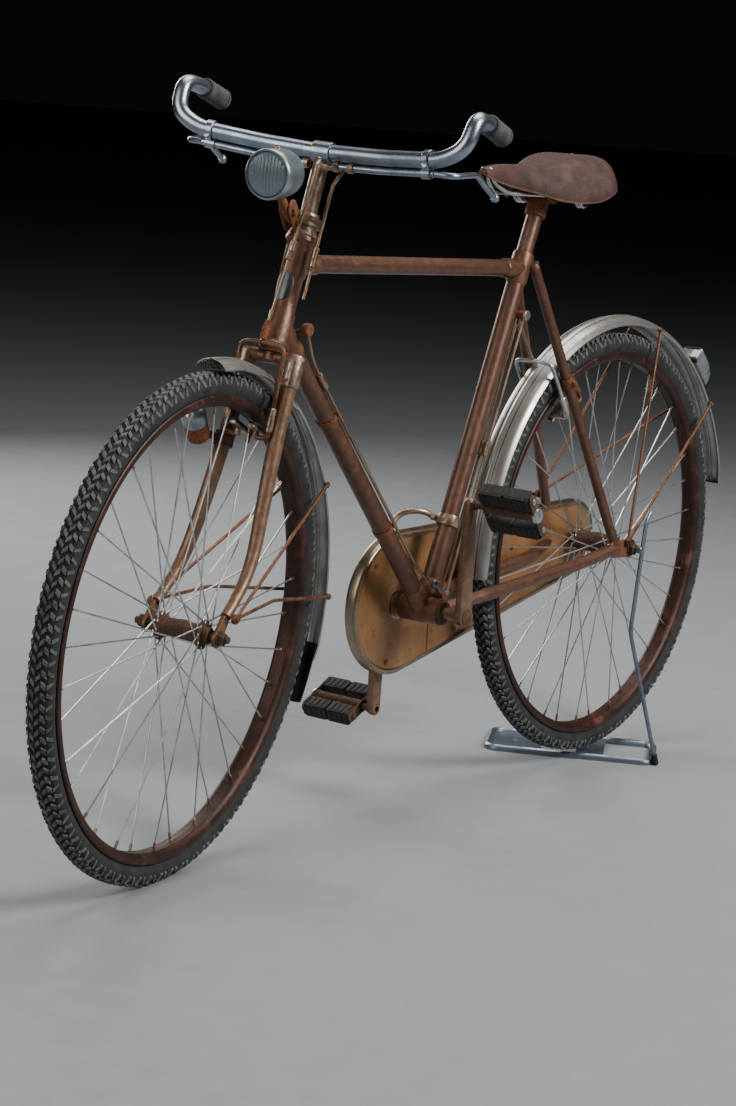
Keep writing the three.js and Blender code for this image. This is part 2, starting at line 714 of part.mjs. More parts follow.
// A rubber block pedal: barrel, two end plates and four blocks, round the pin at its origin.
function pedal(s) {
  const near = PEDAL_Y;
  const far = PEDAL_Y + PEDAL_LENGTH;
  const low = (y0, y1) => Math.min(s * y0, s * y1);
  const high = (y0, y1) => Math.max(s * y0, s * y1);
  const span = (x0, x1, y0, y1, z0, z1) => box(V(x0, low(y0, y1), z0), V(x1, high(y0, y1), z1));
  const barrel = cylinder(V(0, s * near, 0), V(0, s * (far + 2), 0), 10, 16);
  const plates = [span(-38, 38, near, near + 3, -9, 9), span(-38, 38, far - 3, far, -9, 9)];
  const half = PEDAL_BLOCK / 2;
  const blocks = [-27, 27].map((x) => span(x - half, x + half, near + 2, far - 2, -half, half));
  const bore = cylinder(V(0, s * (near - 5), 0), V(0, s * (far - 7), 0), 5 + RUN, 12);
  return cut(join(barrel, plates, blocks), bore);
}

add(cranks, "crankset", materials.rustedSteel, crankset());
for (const { side, s } of both) {
  const holder = new THREE.Group();
  holder.position.set(0, 0, s * CRANK_LENGTH);
  holder.rotation.y = PEDAL_TILT[side];
  cranks.add(holder);
  add(holder, `pedal_${side}`, materials.blackRubber, pedal(s));
}

// Mudguards: an arched strip round each wheel

function guardRing(centre, radius, degrees, half) {
  const shape = [
    [-1, 1],
    [-0.8, 0.5],
    [-0.36, 0.1],
    [0, 0],
    [0.36, 0.1],
    [0.8, 0.5],
    [1, 1],
  ]; // [share of the half width, share of the depth]
  const outer = shape.map(([w, d]) => onWheel(centre, radius - d * GUARD_DEPTH, degrees, w * half));
  const inner = shape.map(([w, d]) =>
    onWheel(centre, radius - d * GUARD_DEPTH - GUARD_WALL, degrees, w * (half - GUARD_WALL)));
  return [...outer, ...inner.toReversed()];
}

function guard(centre, radius, from, to, steps, width) {
  const rings = [];
  for (let i = 0; i <= steps; i++) {
    const degrees = from + ((to - from) * i) / steps;
    rings.push(guardRing(centre, radius, degrees, width(degrees)));
  }
  return loft(rings);
}

const FRONT_GUARD_FROM = 90;
const FRONT_GUARD_TO = 196;
const REAR_GUARD_FROM = -2.5;
const REAR_GUARD_TO = 169;
const frontGuardCentre = frontHub.clone().add(V(-10, 0, -4));
const rearGuardCentre = rearHub.clone().add(V(-9, 0, -1));

const frontGuardHalf = (degrees) => (Math.abs(degrees - 112) < 14 ? GUARD_HALF - 4 : GUARD_HALF);
add(steeringPieces, "front_mudguard", materials.guardMetal,
  guard(frontGuardCentre, FRONT_GUARD_RADIUS, FRONT_GUARD_FROM, FRONT_GUARD_TO, 18, frontGuardHalf));
add(frame, "rear_mudguard", materials.guardMetal,
  guard(rearGuardCentre, REAR_GUARD_RADIUS, REAR_GUARD_FROM, REAR_GUARD_TO, 26, () => GUARD_HALF));

const FLAP_GAP = 0.8;

function mudFlap() {
  const rings = [];
  for (const [degrees, half, out] of [
    [FRONT_GUARD_TO - 4, 22, 0],
    [FRONT_GUARD_TO + 2, 21, 0],
    [FRONT_GUARD_TO + 6, 20, 1],
    [FRONT_GUARD_TO + 10, 18, 4],
  ]) {
    const radius = FRONT_GUARD_RADIUS - GUARD_WALL - FLAP_GAP + out;
    const arch = [-1, -0.5, 0, 0.5, 1];
    const droop = (w) => 11 * w * w;
    const outer = arch.map((w) => onWheel(frontGuardCentre, radius - droop(w), degrees, w * half));
    const inner = arch.map((w) => onWheel(frontGuardCentre, radius - 3 - droop(w), degrees, w * half));
    rings.push([...outer, ...inner.toReversed()]);
  }
  return loft(rings);
}
add(steeringPieces, "mud_flap", materials.blackRubber, mudFlap());

function guardEdge(centre, radius, degrees, s) {
  return onWheel(centre, radius - GUARD_DEPTH + 1, degrees, s * (GUARD_HALF + STAY_RADIUS + FIT));
}

function frontStays(s) {
  const eye = onHead(30, 36, s * (FORK_END_Y + 11));
  const tab = cylinder(eye.clone().add(V(0, -3 * s, 0)), eye.clone().add(V(0, 3 * s, 0)), 7, 10);
  const high = guardEdge(frontGuardCentre, FRONT_GUARD_RADIUS, 152, s);
  const upper = tube([eye, high], STAY_RADIUS, { sides: 6 });
  const low = guardEdge(frontGuardCentre, FRONT_GUARD_RADIUS, 180.5, s);
  const knee = eye.clone().lerp(low, 0.38).add(V(0, 0, 14));
  const lower = tube([eye, knee, low], STAY_RADIUS, { sides: 6, bend: 12, bendSteps: 2 });
  return join(tab, upper, lower);
}

function rearStays(s) {
  const [stayTop, stayLow] = seatStayLine(s);
  const aboveCase = stayLow.clone().lerp(stayTop, 0.15).add(V(0, s * (SEAT_STAY_RADIUS + 3.5), 0));
  const eye = s > 0 ? V(14, DROPOUT_Y + DROPOUT_THICK + 3.3, WHEEL_Z + 13) : aboveCase;
  const tab = cylinder(eye.clone().add(V(0, -3 * s, 0)), eye.clone().add(V(0, 3 * s, 0)), 7, 10);
  const ends = [106, 144].map((degrees) => guardEdge(rearGuardCentre, REAR_GUARD_RADIUS, degrees, s));
  return join(tab, ends.map((end) => tube([eye, end], STAY_RADIUS, { sides: 6 })));
}

// Fork: crown and steerer, and two blades that curve forward to the axle

const bladePoints = (s) => [
  onHead(CROWN_HIGH - 4, 0, s * BLADE_Y),
  onHead(CROWN_LOW - 30, 0, s * BLADE_Y),
  onHead(290, 0, s * (BLADE_Y + 1)),
  onHead(190, 0, s * 44),
  onHead(128, 2, s * 49),
  onHead(88, 11, s * 51.5),
  onHead(55, 28, s * 53),
  onHead(30, 44, s * FORK_END_Y),
];
const bladeRadii = [BLADE_RADIUS, BLADE_RADIUS, BLADE_RADIUS, 10.2, 9.3, 8.6, 8, BLADE_TIP_RADIUS];

function forkEnd(s) {
  const shape = linkShape(onHead(24, 45), 9, onHead(-2, FORK_RAKE), 12, 6);
  const inner = FORK_END_Y - 3;
  const outer = FORK_END_Y + 3;
  return s > 0 ? plate(shape, inner, outer) : plate(shape, -outer, -inner);
}

function forkCrown() {
  const steerer = cylinder(onHead(CROWN_LOW + 6), onHead(HEAD_HIGH + 22), STEERER_RADIUS);
  const race = cylinder(onHead(CROWN_HIGH - 2), onHead(HEAD_LOW - FIT), HEAD_TUBE_RADIUS + 4);
  const bridgeEnds = [-BLADE_Y, BLADE_Y].map((y) => onHead(CROWN_LOW + 12, 0, y));
  const bridge = tube(bridgeEnds, 9.5, { sides: 12 });
  const sockets = both.map(({ s }) =>
    cylinder(
      onHead(CROWN_LOW - 26, 0, s * BLADE_Y),
      onHead(CROWN_HIGH, 0, s * BLADE_Y),
      BLADE_RADIUS + 2.2,
      16,
    ));
  const rooms = both.map(({ s }) => cylinder(onHead(CROWN_LOW - 40, 0, s * BLADE_Y),
    onHead(CROWN_HIGH - 4 + FIT, 0, s * BLADE_Y), BLADE_RADIUS + FIT, 16));
  return cut(join(steerer, race, bridge, sockets), rooms);
}

const frontAxleEnds = [-100, 100].map((y) => V(WHEELBASE, y, WHEEL_Z));
const frontAxleRoom = cylinder(...frontAxleEnds, AXLE_RADIUS + FIT, 16);
add(steeringPieces, "fork_crown", materials.rustedTube, forkCrown());
for (const { side, s } of both) {
  const blade = join(taper(bladePoints(s), bladeRadii, 12), forkEnd(s));
  add(steeringPieces, `fork_blade_${side}`, materials.rustedTube, cut(blade, frontAxleRoom));
  add(steeringPieces, `front_stays_${side}`, materials.rustedSteel, frontStays(s));
  add(frame, `rear_stays_${side}`, materials.rustedSteel, rearStays(s));
}
const frontAxle = axle(frontHub, FRONT_AXLE_HALF, FORK_END_Y + 3 + FIT, FRONT_AXLE_HALF - 6);
add(steeringPieces, "front_axle", materials.rustedSteel, frontAxle);

// Handlebar, stem and grips

const barPoints = [
  onHead(BAR_T, 2, 0),
  onHead(BAR_T + 1, 9, 0.41 * BAR_HALF),
  onHead(BAR_T + 4, 26, 0.85 * BAR_HALF),
  onHead(BAR_T + 0.3 * BAR_RISE, 33, BAR_HALF + 1),
  onHead(BAR_T + 0.88 * BAR_RISE, 30, BAR_HALF + 5),
  onHead(BAR_T + BAR_RISE - 2, -8, BAR_HALF + 1),
  onHead(BAR_T + BAR_RISE, -70, BAR_HALF),
];

function handlebar(grow = 0) {
  const left = barPoints.slice(1);
  const line = [...left.map(mirrored).toReversed(), barPoints[0], ...left];
  return tube(line, BAR_RADIUS + grow, { sides: 10, bend: 22, bendSteps: 2 });
}
const barRoom = handlebar(FIT);

function stem() {
  const quill = cylinder(onHead(HEAD_HIGH + 34 + FIT), onHead(BAR_T - 8), 11.2);
  const clamp = cylinder(onHead(BAR_T, 2, -14), onHead(BAR_T, 2, 14), BAR_RADIUS + 3.5);
  return cut(join(quill, clamp), barRoom);
}

function grip(s) {
  const from = barPoints[5];
  const to = barPoints[6];
  const length = from.distanceTo(to);
  const body = turned(
    [
      [BAR_RADIUS + FIT, 0],
      [GRIP_RADIUS - 1, 0],
      [GRIP_RADIUS, 5],
      [GRIP_RADIUS + 0.6, length - 4],
      [GRIP_RADIUS - 2, length + 5],
      [8, length + 8],
      [0, length + 9],
      [0, length + FIT],
      [BAR_RADIUS + FIT, length + FIT],
    ],
    { sides: 10, closed: true },
  );
  const start = s > 0 ? from : mirrored(from);
  const end = s > 0 ? to : mirrored(to);
  return cut(placed(body, start, end.clone().sub(start)), barRoom);
}

// Rod brake levers: a tube under the bar, a clamp round bar and tube, and a lever back below the grip
function brakeLever(s) {
  const tubeLine = [
    onHead(BAR_T - 17, -2, s * 24),
    onHead(BAR_T - 16, 3, s * 0.41 * BAR_HALF),
    onHead(BAR_T - 13, 18, s * 0.81 * BAR_HALF),
  ];
  const lever = [
    tubeLine[2],
    onHead(BAR_T - 12, 14, s * 0.93 * BAR_HALF),
    onHead(BAR_T + 10, -44, s * 0.96 * BAR_HALF),
    onHead(BAR_T + 4, -66, s * 0.97 * BAR_HALF),
    onHead(BAR_T - 2, -108, s * 0.98 * BAR_HALF),
  ];
  const knob = lever[4];
  const line = barPoints.slice(1, 3).map((p) => (s > 0 ? p : mirrored(p)));
  const clampWay = line[1].clone().sub(line[0]).normalize();
  const clampAt = line[0].clone().lerp(line[1], 0.8);
  const clampFrom = clampAt.clone().addScaledVector(clampWay, -5);
  const clamp = cylinder(clampFrom, clampAt.clone().addScaledVector(clampWay, 5), BAR_RADIUS + 4);
  const knobEnds = [-5, 4].map((ahead) => knob.clone().addScaledVector(headFront, ahead));
  const pieces = [
    tube(tubeLine, LEVER_TUBE_RADIUS, { sides: 8, bend: 20, bendSteps: 2 }),
    tube(lever, 4.6, { sides: 8, bend: 16, bendSteps: 2 }),
    cylinder(...knobEnds, 6.5, 10),
    clamp,
  ];
  return cut(join(pieces), barRoom);
}

add(steeringPieces, "stem", materials.rustedTube, stem());
add(steeringPieces, "handlebar", materials.dullChrome, handlebar());
for (const { side, s } of both) {
  add(steeringPieces, `grip_${side}`, materials.gripRubber, grip(s));
  add(steeringPieces, `brake_lever_${side}`, materials.brightSteel, brakeLever(s));
}

// Headlamp on a bracket under the headset's top nut

const LAMP_BACK = onHead(HEAD_HIGH + 68, 78, 0);
const LAMP_LENGTH = 66;
const LAMP_RADIUS = 34;

const LAMP_WAY = V(1, 0, -0.04);
const lampOutline = (grow) => [
  [0, -grow],
  [14 + grow, 1.5 - grow],
  [24 + grow, 7 - grow],
  [30 + grow, 16],
  [LAMP_RADIUS - 1 + grow, 30],
  [LAMP_RADIUS - 1 + grow, LAMP_LENGTH - 14 - grow],
  [LAMP_RADIUS + grow, LAMP_LENGTH - 13 - grow],
  [LAMP_RADIUS + grow, LAMP_LENGTH - 3],
]; // [radius, place along the lamp]

function lampShell() {
  const mouth = [
    [LAMP_RADIUS - 3, LAMP_LENGTH],
    [LAMP_RADIUS - 4, LAMP_LENGTH - 8],
    [0, LAMP_LENGTH - 22],
  ];
  return placed(turned([...lampOutline(0), ...mouth], { sides: 20 }), LAMP_BACK, LAMP_WAY);
}

function lampLens() {
  const body = turned(
    [
      [0, LAMP_LENGTH - 12],
      [LAMP_RADIUS - 4 - FIT, LAMP_LENGTH - 7],
      [LAMP_RADIUS - 4 - FIT, LAMP_LENGTH - 2],
      [18, LAMP_LENGTH + 1],
      [0, LAMP_LENGTH + 3],
    ],
    { sides: 20 },
  );
  return placed(body, LAMP_BACK, LAMP_WAY);
}

function lampBracket() {
  const nut = cylinder(onHead(HEAD_HIGH + FIT), onHead(HEAD_HIGH + 34), HEAD_TUBE_RADIUS + 5);
  const line = [
    onHead(HEAD_HIGH + 14, 15, -4),
    onHead(HEAD_HIGH + 14, 48, -4),
    onHead(HEAD_HIGH + 40, 96, -4),
    onHead(HEAD_HIGH + 44, 106, -4),
  ];
  const arm = tube(line, 6, { sides: 8, bend: 14, bendSteps: 2 });
  const holder = cylinder(onHead(HEAD_HIGH + 6, 46, -5), onHead(HEAD_HIGH + 32, 46, -5), 10, 12);
  const lampBody = turned([...lampOutline(FIT), [0, LAMP_LENGTH]], { sides: 20 });
  const lampRoom = placed(lampBody, LAMP_BACK, LAMP_WAY);
  const steererHole = cylinder(onHead(HEAD_HIGH - 9), onHead(HEAD_HIGH + 40), STEERER_RADIUS + FIT);
  return cut(join(nut, arm, holder), lampRoom, steererHole);
}

add(steeringPieces, "headlamp_shell", materials.lampSilver, lampShell());
add(steeringPieces, "headlamp_lens", materials.lensGlass, lampLens());
add(steeringPieces, "lamp_bracket", materials.rustedSteel, lampBracket());

// Front brake: a rod down the front of the head tube to a stirrup with two blocks under the rim

const PAD_RADIUS = RIM_INNER - 7; // the blocks' outer face, off the rim
const FRONT_PAD_ANGLE = 116;
const REAR_PAD_ANGLE = 53;
const STIRRUP_ARCH = REAR_GUARD_RADIUS + 13; // how far from the hub the rear stirrup crosses its guard
const STIRRUP_RADIUS = 3.4;
const UPPER_PIVOT = TOP_TUBE_ON_SEAT - 68; // the upper bell crank, along the seat tube

function brakeBlock(hubCentre, degrees, s) {
  const way = onWheel(V(0, 0, 0), 1, degrees);
  const middle = onWheel(hubCentre, PAD_RADIUS, degrees, s * 14);
  return cylinder(middle.clone().addScaledVector(way, -14), middle, 5, 10);
}

function stirrup(hubCentre, degrees, top, shoulder) {
  const legs = both.map(({ s }) => {
    const foot = onWheel(hubCentre, PAD_RADIUS - 16, degrees, s * 15);
    const ankle = onWheel(hubCentre, PAD_RADIUS - 16, degrees, s * (GUARD_HALF + 7));
    const line = [V(top.x, 0, top.z), shoulder(s), ankle, foot];
    return tube(line, STIRRUP_RADIUS, { sides: 8, bend: 10, bendSteps: 2 });
  });
  const blocks = both.map(({ s }) => brakeBlock(hubCentre, degrees, s));
  return join(legs, blocks);
}

function frontStirrup() {
  const shoulder = (s) => onHead(CROWN_HIGH + 2, 32, s * 34);
  return stirrup(frontHub, FRONT_PAD_ANGLE, onHead(CROWN_HIGH + 4, 36), shoulder);
}

function frontBrakeRod() {
  const line = [onHead(BAR_T - 26, 34, 16), onHead(CROWN_HIGH + 8, 36, 0)];
  const nutFrom = line[1].clone().lerp(line[0], 0.45);
  const sleevePart = cylinder(nutFrom, line[1].clone().lerp(line[0], 0.56), 5.5, 10);
  const yoke = tube([onHead(BAR_T - 28, 34, 16), onHead(BAR_T - 24, 14, 20), onHead(BAR_T - 17, -1, 27)], 4,
    { sides: 8, bend: 8, bendSteps: 2 });
  return join(tube(line, ROD_RADIUS, { sides: 8 }), sleevePart, yoke);
}

add(steeringPieces, "front_brake_stirrup", materials.rustedSteel, frontStirrup());
const leverTubeRoom = tube(
  [onHead(BAR_T - 17, -2, 14), onHead(BAR_T - 17, -2, 24), onHead(BAR_T - 16, 3, 90)],
  LEVER_TUBE_RADIUS + FIT,
  { sides: 8, bend: 0, bendSteps: 1 },
);
add(steeringPieces, "front_brake_rod", materials.brightSteel, cut(frontBrakeRod(), leverTubeRoom));

// Rear brake: from the bar a rod to the swivel by the head tube,
// then along the down tube and up the seat tube

function swivelRod() {
  const top = onHead(BAR_T - 17 - LEVER_TUBE_RADIUS - FIT, 0, 36);
  const knee = onHead(BAR_T - 46, 9, 31);
  const low = onHead(DOWN_TUBE_ON_HEAD + 40, 9, 30);
  const turnbuckle = cylinder(knee.clone().lerp(low, 0.55), knee.clone().lerp(low, 0.75), 5, 10);
  return join(tube([top, knee, low], ROD_RADIUS, { sides: 8, bend: 6, bendSteps: 2 }), turnbuckle);
}

const crankBall = onSeat(36, -24, 24); // the small bell crank's front end, by the bottom bracket

function downTubeRod() {
  const along = bracket.clone().sub(headForDown).normalize();
  const length = headForDown.distanceTo(bracket);
  const above = V(along.z, 0, -along.x);
  const place = (distance, lift, y) =>
    headForDown.clone().addScaledVector(along, distance).addScaledVector(above, lift).add(V(0, y, 0));
  const from = place(24, 21, 24);
  const line = [from, place(76, 11, 16), place(length - 92, 11, 16), place(length - 42, 15, 24)];
  const rod = tube(line, ROD_RADIUS, { sides: 8, bend: 20, bendSteps: 2 });
  const swivel = cylinder(from.clone().add(V(0, -5, 0)), from.clone().add(V(0, 5, 0)), 9, 12);
  const post = cylinder(place(24, 12, 0), from, 4, 8);
  return cut(join(rod, swivel, post), headRoom, tubeRoom(headForDown, bracket, MAIN_TUBE_RADIUS + LUG_WALL),
    cylinder(crankBall.clone().add(V(0, -9, 0)), crankBall.clone().add(V(0, 9, 0)), 6 + FIT));
}

function seatTubeRods() {
  const rods = [10, 20].map((y) => tube([onSeat(34, 18, y), onSeat(UPPER_PIVOT, 18, y)], 2.6, { sides: 6 }));
  const lowerLine = [onSeat(34, 18, 6), onSeat(34, 18, 25), onSeat(26, 0, 25), crankBall];
  const lower = tube(lowerLine, 4, { sides: 8, bend: 6 });
  const ball = cylinder(crankBall.clone().add(V(0, -5, 0)), crankBall.clone().add(V(0, 5, 0)), 6, 10);
  const upper = cylinder(onSeat(UPPER_PIVOT, 18, 4), onSeat(UPPER_PIVOT, 18, 26), 8, 10);
  const link = tube([onSeat(UPPER_PIVOT, 18, 6), onWheel(rearHub, STIRRUP_ARCH, 53.5, 0)], 3, { sides: 8 });
  return cut(join(rods, lower, ball, upper, link), bracketRoom,
    cylinder(bracket, seatTop, MAIN_TUBE_RADIUS + LUG_WALL + FIT));
}

function rearStirrup() {
  return stirrup(rearHub, REAR_PAD_ANGLE, onWheel(rearHub, STIRRUP_ARCH, 53.5), (s) =>
    onWheel(rearHub, STIRRUP_ARCH - 2, 53.5, s * (GUARD_HALF + 8)));
}

add(steeringPieces, "rear_brake_swivel_rod", materials.brightSteel, swivelRod());
add(frame, "down_tube_rod", materials.brightSteel, downTubeRod());
add(frame, "rear_brake_stirrup", materials.rustedSteel, rearStirrup());
const archLine = [
  onWheel(rearHub, STIRRUP_ARCH - 2, 53.5, -GUARD_HALF - 8),
  onWheel(rearHub, STIRRUP_ARCH, 53.5),
  onWheel(rearHub, STIRRUP_ARCH - 2, 53.5, GUARD_HALF + 8),
];
const archRoom = tube(archLine, STIRRUP_RADIUS + 2 * FIT, { sides: 8, bend: 10, bendSteps: 2 });
add(frame, "seat_tube_rods", materials.brightSteel, cut(seatTubeRods(), archRoom));

// Bottle dynamo on the right fork blade

function dynamo() {
  const foot = onHead(258, 30, -60);
  const body = turned(
    [
      [0, 0],
      [12, 1],
      [16, 6],
      [16, 34],
      [17.5, 36],
      [17.5, 50],
      [12, 58],
      [5, 61],
      [5, 66],
      [9, 67],
      [9, 76],
      [0, 77],
    ],
    { sides: 14 },
  );
  const housing = placed(body, foot, V(0.62, 0.1, 0.78));
  const arm = tube([onHead(268, 2, -BLADE_Y - 5), onHead(268, 32, -61)], 6, { sides: 8 });
  const clip = cylinder(onHead(258, 0, -39), onHead(278, 0, -39), BLADE_RADIUS + 3);
  return cut(join(housing, arm, clip), taper(bladePoints(-1), bladeRadii.map((r) => r + FIT), 12));
}
add(steeringPieces, "dynamo", materials.lampSilver, dynamo());

// Rear lamp on the mudguard, and a ring lock on the left seat stay

function rearLamp() {
  const base = onWheel(rearGuardCentre, REAR_GUARD_RADIUS + FIT, 134);
  const out = onWheel(V(0, 0, 0), 1, 134);
  const along = V(-out.z, 0, out.x);
  const corner = (a, b) => base.clone().addScaledVector(along, a).addScaledVector(out, b);
  const places = [[-30, 0], [30, 0], [38, 2], [34, 24], [14, 32], [-22, 32]];
  const outline = places.map(([a, b]) => corner(a, b));
  const shape = new THREE.Shape(outline.map((p) => new THREE.Vector2(p.x, p.z)));
  return plate(shape, -20, 20, 3);
}

function ringLock() {
  const [top, low] = seatStayLine(1);
  const at = (share) => top.clone().lerp(low, share);
  const way = low.clone().sub(top).normalize();
  const middle = at(0.41);
  const clip = cylinder(middle.clone().addScaledVector(way, -10), middle.clone().addScaledVector(way, 10),
    SEAT_STAY_RADIUS + 3);
  const back = V(-1, 0, -0.45).normalize();
  const ring = tube(
    [
      middle.clone().addScaledVector(way, -34).addScaledVector(back, 13),
      middle.clone().addScaledVector(way, -20).addScaledVector(back, 33),
      middle.clone().addScaledVector(way, 14).addScaledVector(back, 38),
      middle.clone().addScaledVector(way, 30).addScaledVector(back, 16),
    ],
    3.6,
    { sides: 6, bend: 18, bendSteps: 2 },
  );
  const lug = tube([middle, middle.clone().addScaledVector(back, 36)], 5, { sides: 8 });
  return cut(join(clip, ring, lug), tube(seatStayLine(1), SEAT_STAY_RADIUS + FIT, { sides: 12 }));
}

add(frame, "rear_lamp", materials.lampSilver, rearLamp());
add(frame, "ring_lock", materials.rustedSteel, ringLock());

// Saddle: a leather top stretched over a wire frame with two coil springs

const saddleClamp = onSeat(SEAT_POST_TOP + 8);
const SADDLE_SECTIONS = [
  // [behind the nose, half width, top and skirt above the clamp, roundness]
  [0, 7, 41, 33, 0.9],
  [14, 13, 46, 26, 0.9],
  [55, 20, 50, 16, 0.85],
  [105, 33, 51, 7, 0.75],
  [155, 58, 54, -5, 0.65],
  [200, 85, 62, -3, 0.6],
  [236, 92, 67, 13, 0.6],
  [SADDLE_LENGTH - 8, 78, 63, 25, 0.6],
  [SADDLE_LENGTH, 62, 53, 33, 0.6],
];
const onSaddle = (behind, left, up) => saddleClamp.clone().add(V(SADDLE_AHEAD - behind, left, up));

function saddleTop() {
  const arch = (behind, half, top, skirt, roundness, inset) => {
    const points = [];
    for (let i = 0; i <= 10; i++) {
      const turn = (Math.PI * i) / 10;
      const w = Math.cos(turn);
      const h = Math.sin(turn);
      const y = (half - inset) * Math.sign(w) * Math.abs(w) ** (roundness * 0.7);
      const z = skirt + (top - inset - skirt) * h ** (2 - roundness);
      points.push(onSaddle(behind, y, z));
    }
    return points;
  };
  const rings = SADDLE_SECTIONS.map(([behind, half, top, skirt, roundness]) => [
    ...arch(behind, half, top, skirt, roundness, 0),
    ...arch(behind, half, top, skirt, roundness, LEATHER).toReversed(),
  ]);
  return loft(rings);
}

function saddleFrame() {
  const post = cut(
    cylinder(onSeat(SEAT_POST_TOP - 24), onSeat(SEAT_POST_TOP + 16), SEAT_POST_RADIUS + 4, 16),
    cylinder(onSeat(SEAT_POST_TOP - 60), onSeat(SEAT_POST_TOP + FIT), SEAT_POST_RADIUS + FIT),
  );
  const cross = cylinder(onSaddle(SADDLE_AHEAD, -30, 4), onSaddle(SADDLE_AHEAD, 30, 4), 7, 12);
  const rails = both.flatMap(({ s }) => {
    const rail = [
      onSaddle(16, s * 3, 40),
      onSaddle(26, s * 5, 22),
      onSaddle(52, s * 12, 6),
      onSaddle(133, s * 24, 4),
      onSaddle(185, s * 26, 3),
      onSaddle(203, s * 48, 2),
      onSaddle(226, s * 56, 4),
      onSaddle(244, s * 60, 43),
    ];
    const wire = tube(rail, 3.2, { sides: 5, bend: 14, bendSteps: 1 });
    const coil = [];
    for (let i = 0; i <= 12; i++) {
      const turn = (2 * Math.PI * i) / 7;
      coil.push(onSaddle(196 - 13 * Math.cos(turn), s * (47 + i * 1.1), 2 + 13 * Math.sin(turn)));
    }
    return [wire, tube(coil, 3, { sides: 4, bend: 0.1, bendSteps: 1 })];
  });
  const plateLine = [onSaddle(244, -62, 43), onSaddle(250, 0, 56.1), onSaddle(244, 62, 43)];
  const rearPlate = tube(plateLine, 3.4, { sides: 5, bend: 6, bendSteps: 1 });
  return join(post, cross, rails, rearPlate);
}

const leatherTop = add(frame, "saddle_top", materials.leather, saddleTop());
add(frame, "saddle_frame", materials.dullChrome, cut(saddleFrame(), leatherTop));

// Floor stand: a flat looped base with two cross plates, and a bent spring rod up to the axle

function roundedRectangle(length, width, radius) {
  const [a, b] = [length / 2, width / 2];
  const shape = new THREE.Shape();
  shape.moveTo(-a + radius, -b);
  shape.lineTo(a - radius, -b);
  shape.absarc(a - radius, -b + radius, radius, -Math.PI / 2, 0);
  shape.lineTo(a, b - radius);
  shape.absarc(a - radius, b - radius, radius, 0, Math.PI / 2);
  shape.lineTo(-a + radius, b);
  shape.absarc(-a + radius, b - radius, radius, Math.PI / 2, Math.PI);
  shape.lineTo(-a, -b + radius);
  shape.absarc(-a + radius, -b + radius, radius, Math.PI, Math.PI * 1.5);
  return shape;
}

function standBase() {
  const outline = roundedRectangle(STAND_LENGTH, STAND_WIDTH, 24);
  const hollow = roundedRectangle(STAND_LENGTH - 2 * STAND_RIM, STAND_WIDTH - 2 * STAND_RIM, 12);
  const options = { depth: STAND_HEIGHT, bevelEnabled: false, curveSegments: 4 };
  const loop = cut(
    solid(new THREE.ExtrudeGeometry(outline, options)),
    solid(new THREE.ExtrudeGeometry(hollow, { ...options, depth: STAND_HEIGHT + 20 })).translate([0, 0, -10]),
  );
  const reach = STAND_WIDTH / 2 - 10;
  const plates = [
    box(V(-STAND_LENGTH / 2 + 10, -reach, 2), V(-50, reach, 5)),
    box(V(10, -reach, 2), V(56, reach, 5)),
  ];
  return join(loop, plates);
}

const standGroup = new THREE.Group();
standGroup.position.set(STAND_CENTRE[0], STAND_CENTRE[1], -STAND_LIFT);
standGroup.rotation.z = STAND_TURN;
bicycle.add(standGroup);
const base = add(standGroup, "stand_base", materials.standZinc, standBase());

function standRod() {
  const foot = V(STAND_LENGTH / 2 + 1, 10 - STAND_WIDTH / 2, 4).applyMatrix4(standGroup.matrix);
  const line = [V(30, 96, 216), V(-12, 86, 396), V(-22, 86, 408)].map(pitched);
  const cup = cylinder(pitched(V(0, REAR_AXLE_HALF + FIT, WHEEL_Z)), pitched(V(0, 89, WHEEL_Z)), 6, 10);
  return join(tube([foot, ...line], 3.6, { sides: 8, bend: 14, bendSteps: 3 }), cup);
}
standGroup.updateMatrix();
add(bicycle, "stand_rod", materials.standZinc, cut(standRod(), base.transform(standGroup.matrix.elements)));

// The assembly's box stands on the origin, centred on it
bicycle.updateMatrixWorld(true);
const bounds = new THREE.Box3().setFromObject(bicycle, true);
const middle = bounds.getCenter(V(0, 0, 0));
bicycle.position.set(-middle.x, -middle.y, -bounds.min.z);

export default bicycle;
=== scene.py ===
"""A rusty gentleman's roadster bicycle on a floor stand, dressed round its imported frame."""

import json
import math
import random

import bmesh
import bpy
from bpy.props import FloatProperty, FloatVectorProperty, IntProperty, PointerProperty
from bpy.types import Operator, Panel, PropertyGroup
from mathutils import Matrix, Quaternion, Vector


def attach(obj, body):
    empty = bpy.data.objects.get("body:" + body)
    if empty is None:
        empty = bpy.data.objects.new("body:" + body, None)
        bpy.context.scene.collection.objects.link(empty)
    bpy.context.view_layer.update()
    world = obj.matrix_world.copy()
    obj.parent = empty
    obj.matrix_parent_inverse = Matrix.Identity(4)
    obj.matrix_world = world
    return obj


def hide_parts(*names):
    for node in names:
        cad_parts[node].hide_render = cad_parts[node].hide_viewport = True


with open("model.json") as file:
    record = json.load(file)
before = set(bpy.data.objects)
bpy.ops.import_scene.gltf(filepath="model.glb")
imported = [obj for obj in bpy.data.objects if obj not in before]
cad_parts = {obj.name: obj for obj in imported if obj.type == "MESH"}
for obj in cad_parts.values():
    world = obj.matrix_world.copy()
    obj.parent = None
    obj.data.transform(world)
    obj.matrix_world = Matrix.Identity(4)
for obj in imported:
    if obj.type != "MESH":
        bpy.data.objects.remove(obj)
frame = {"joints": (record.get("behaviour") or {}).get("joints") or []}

bl_info = {
    "name": "Rusty Roadster Bicycle",
    "version": (1, 0, 0),
    "blender": (4, 5, 0),
    "location": "View3D > Sidebar > Roadster",
    "description": "Builds a weathered rod-brake roadster bicycle with its floor stand",
    "category": "Add Mesh",
}

MM = 0.001

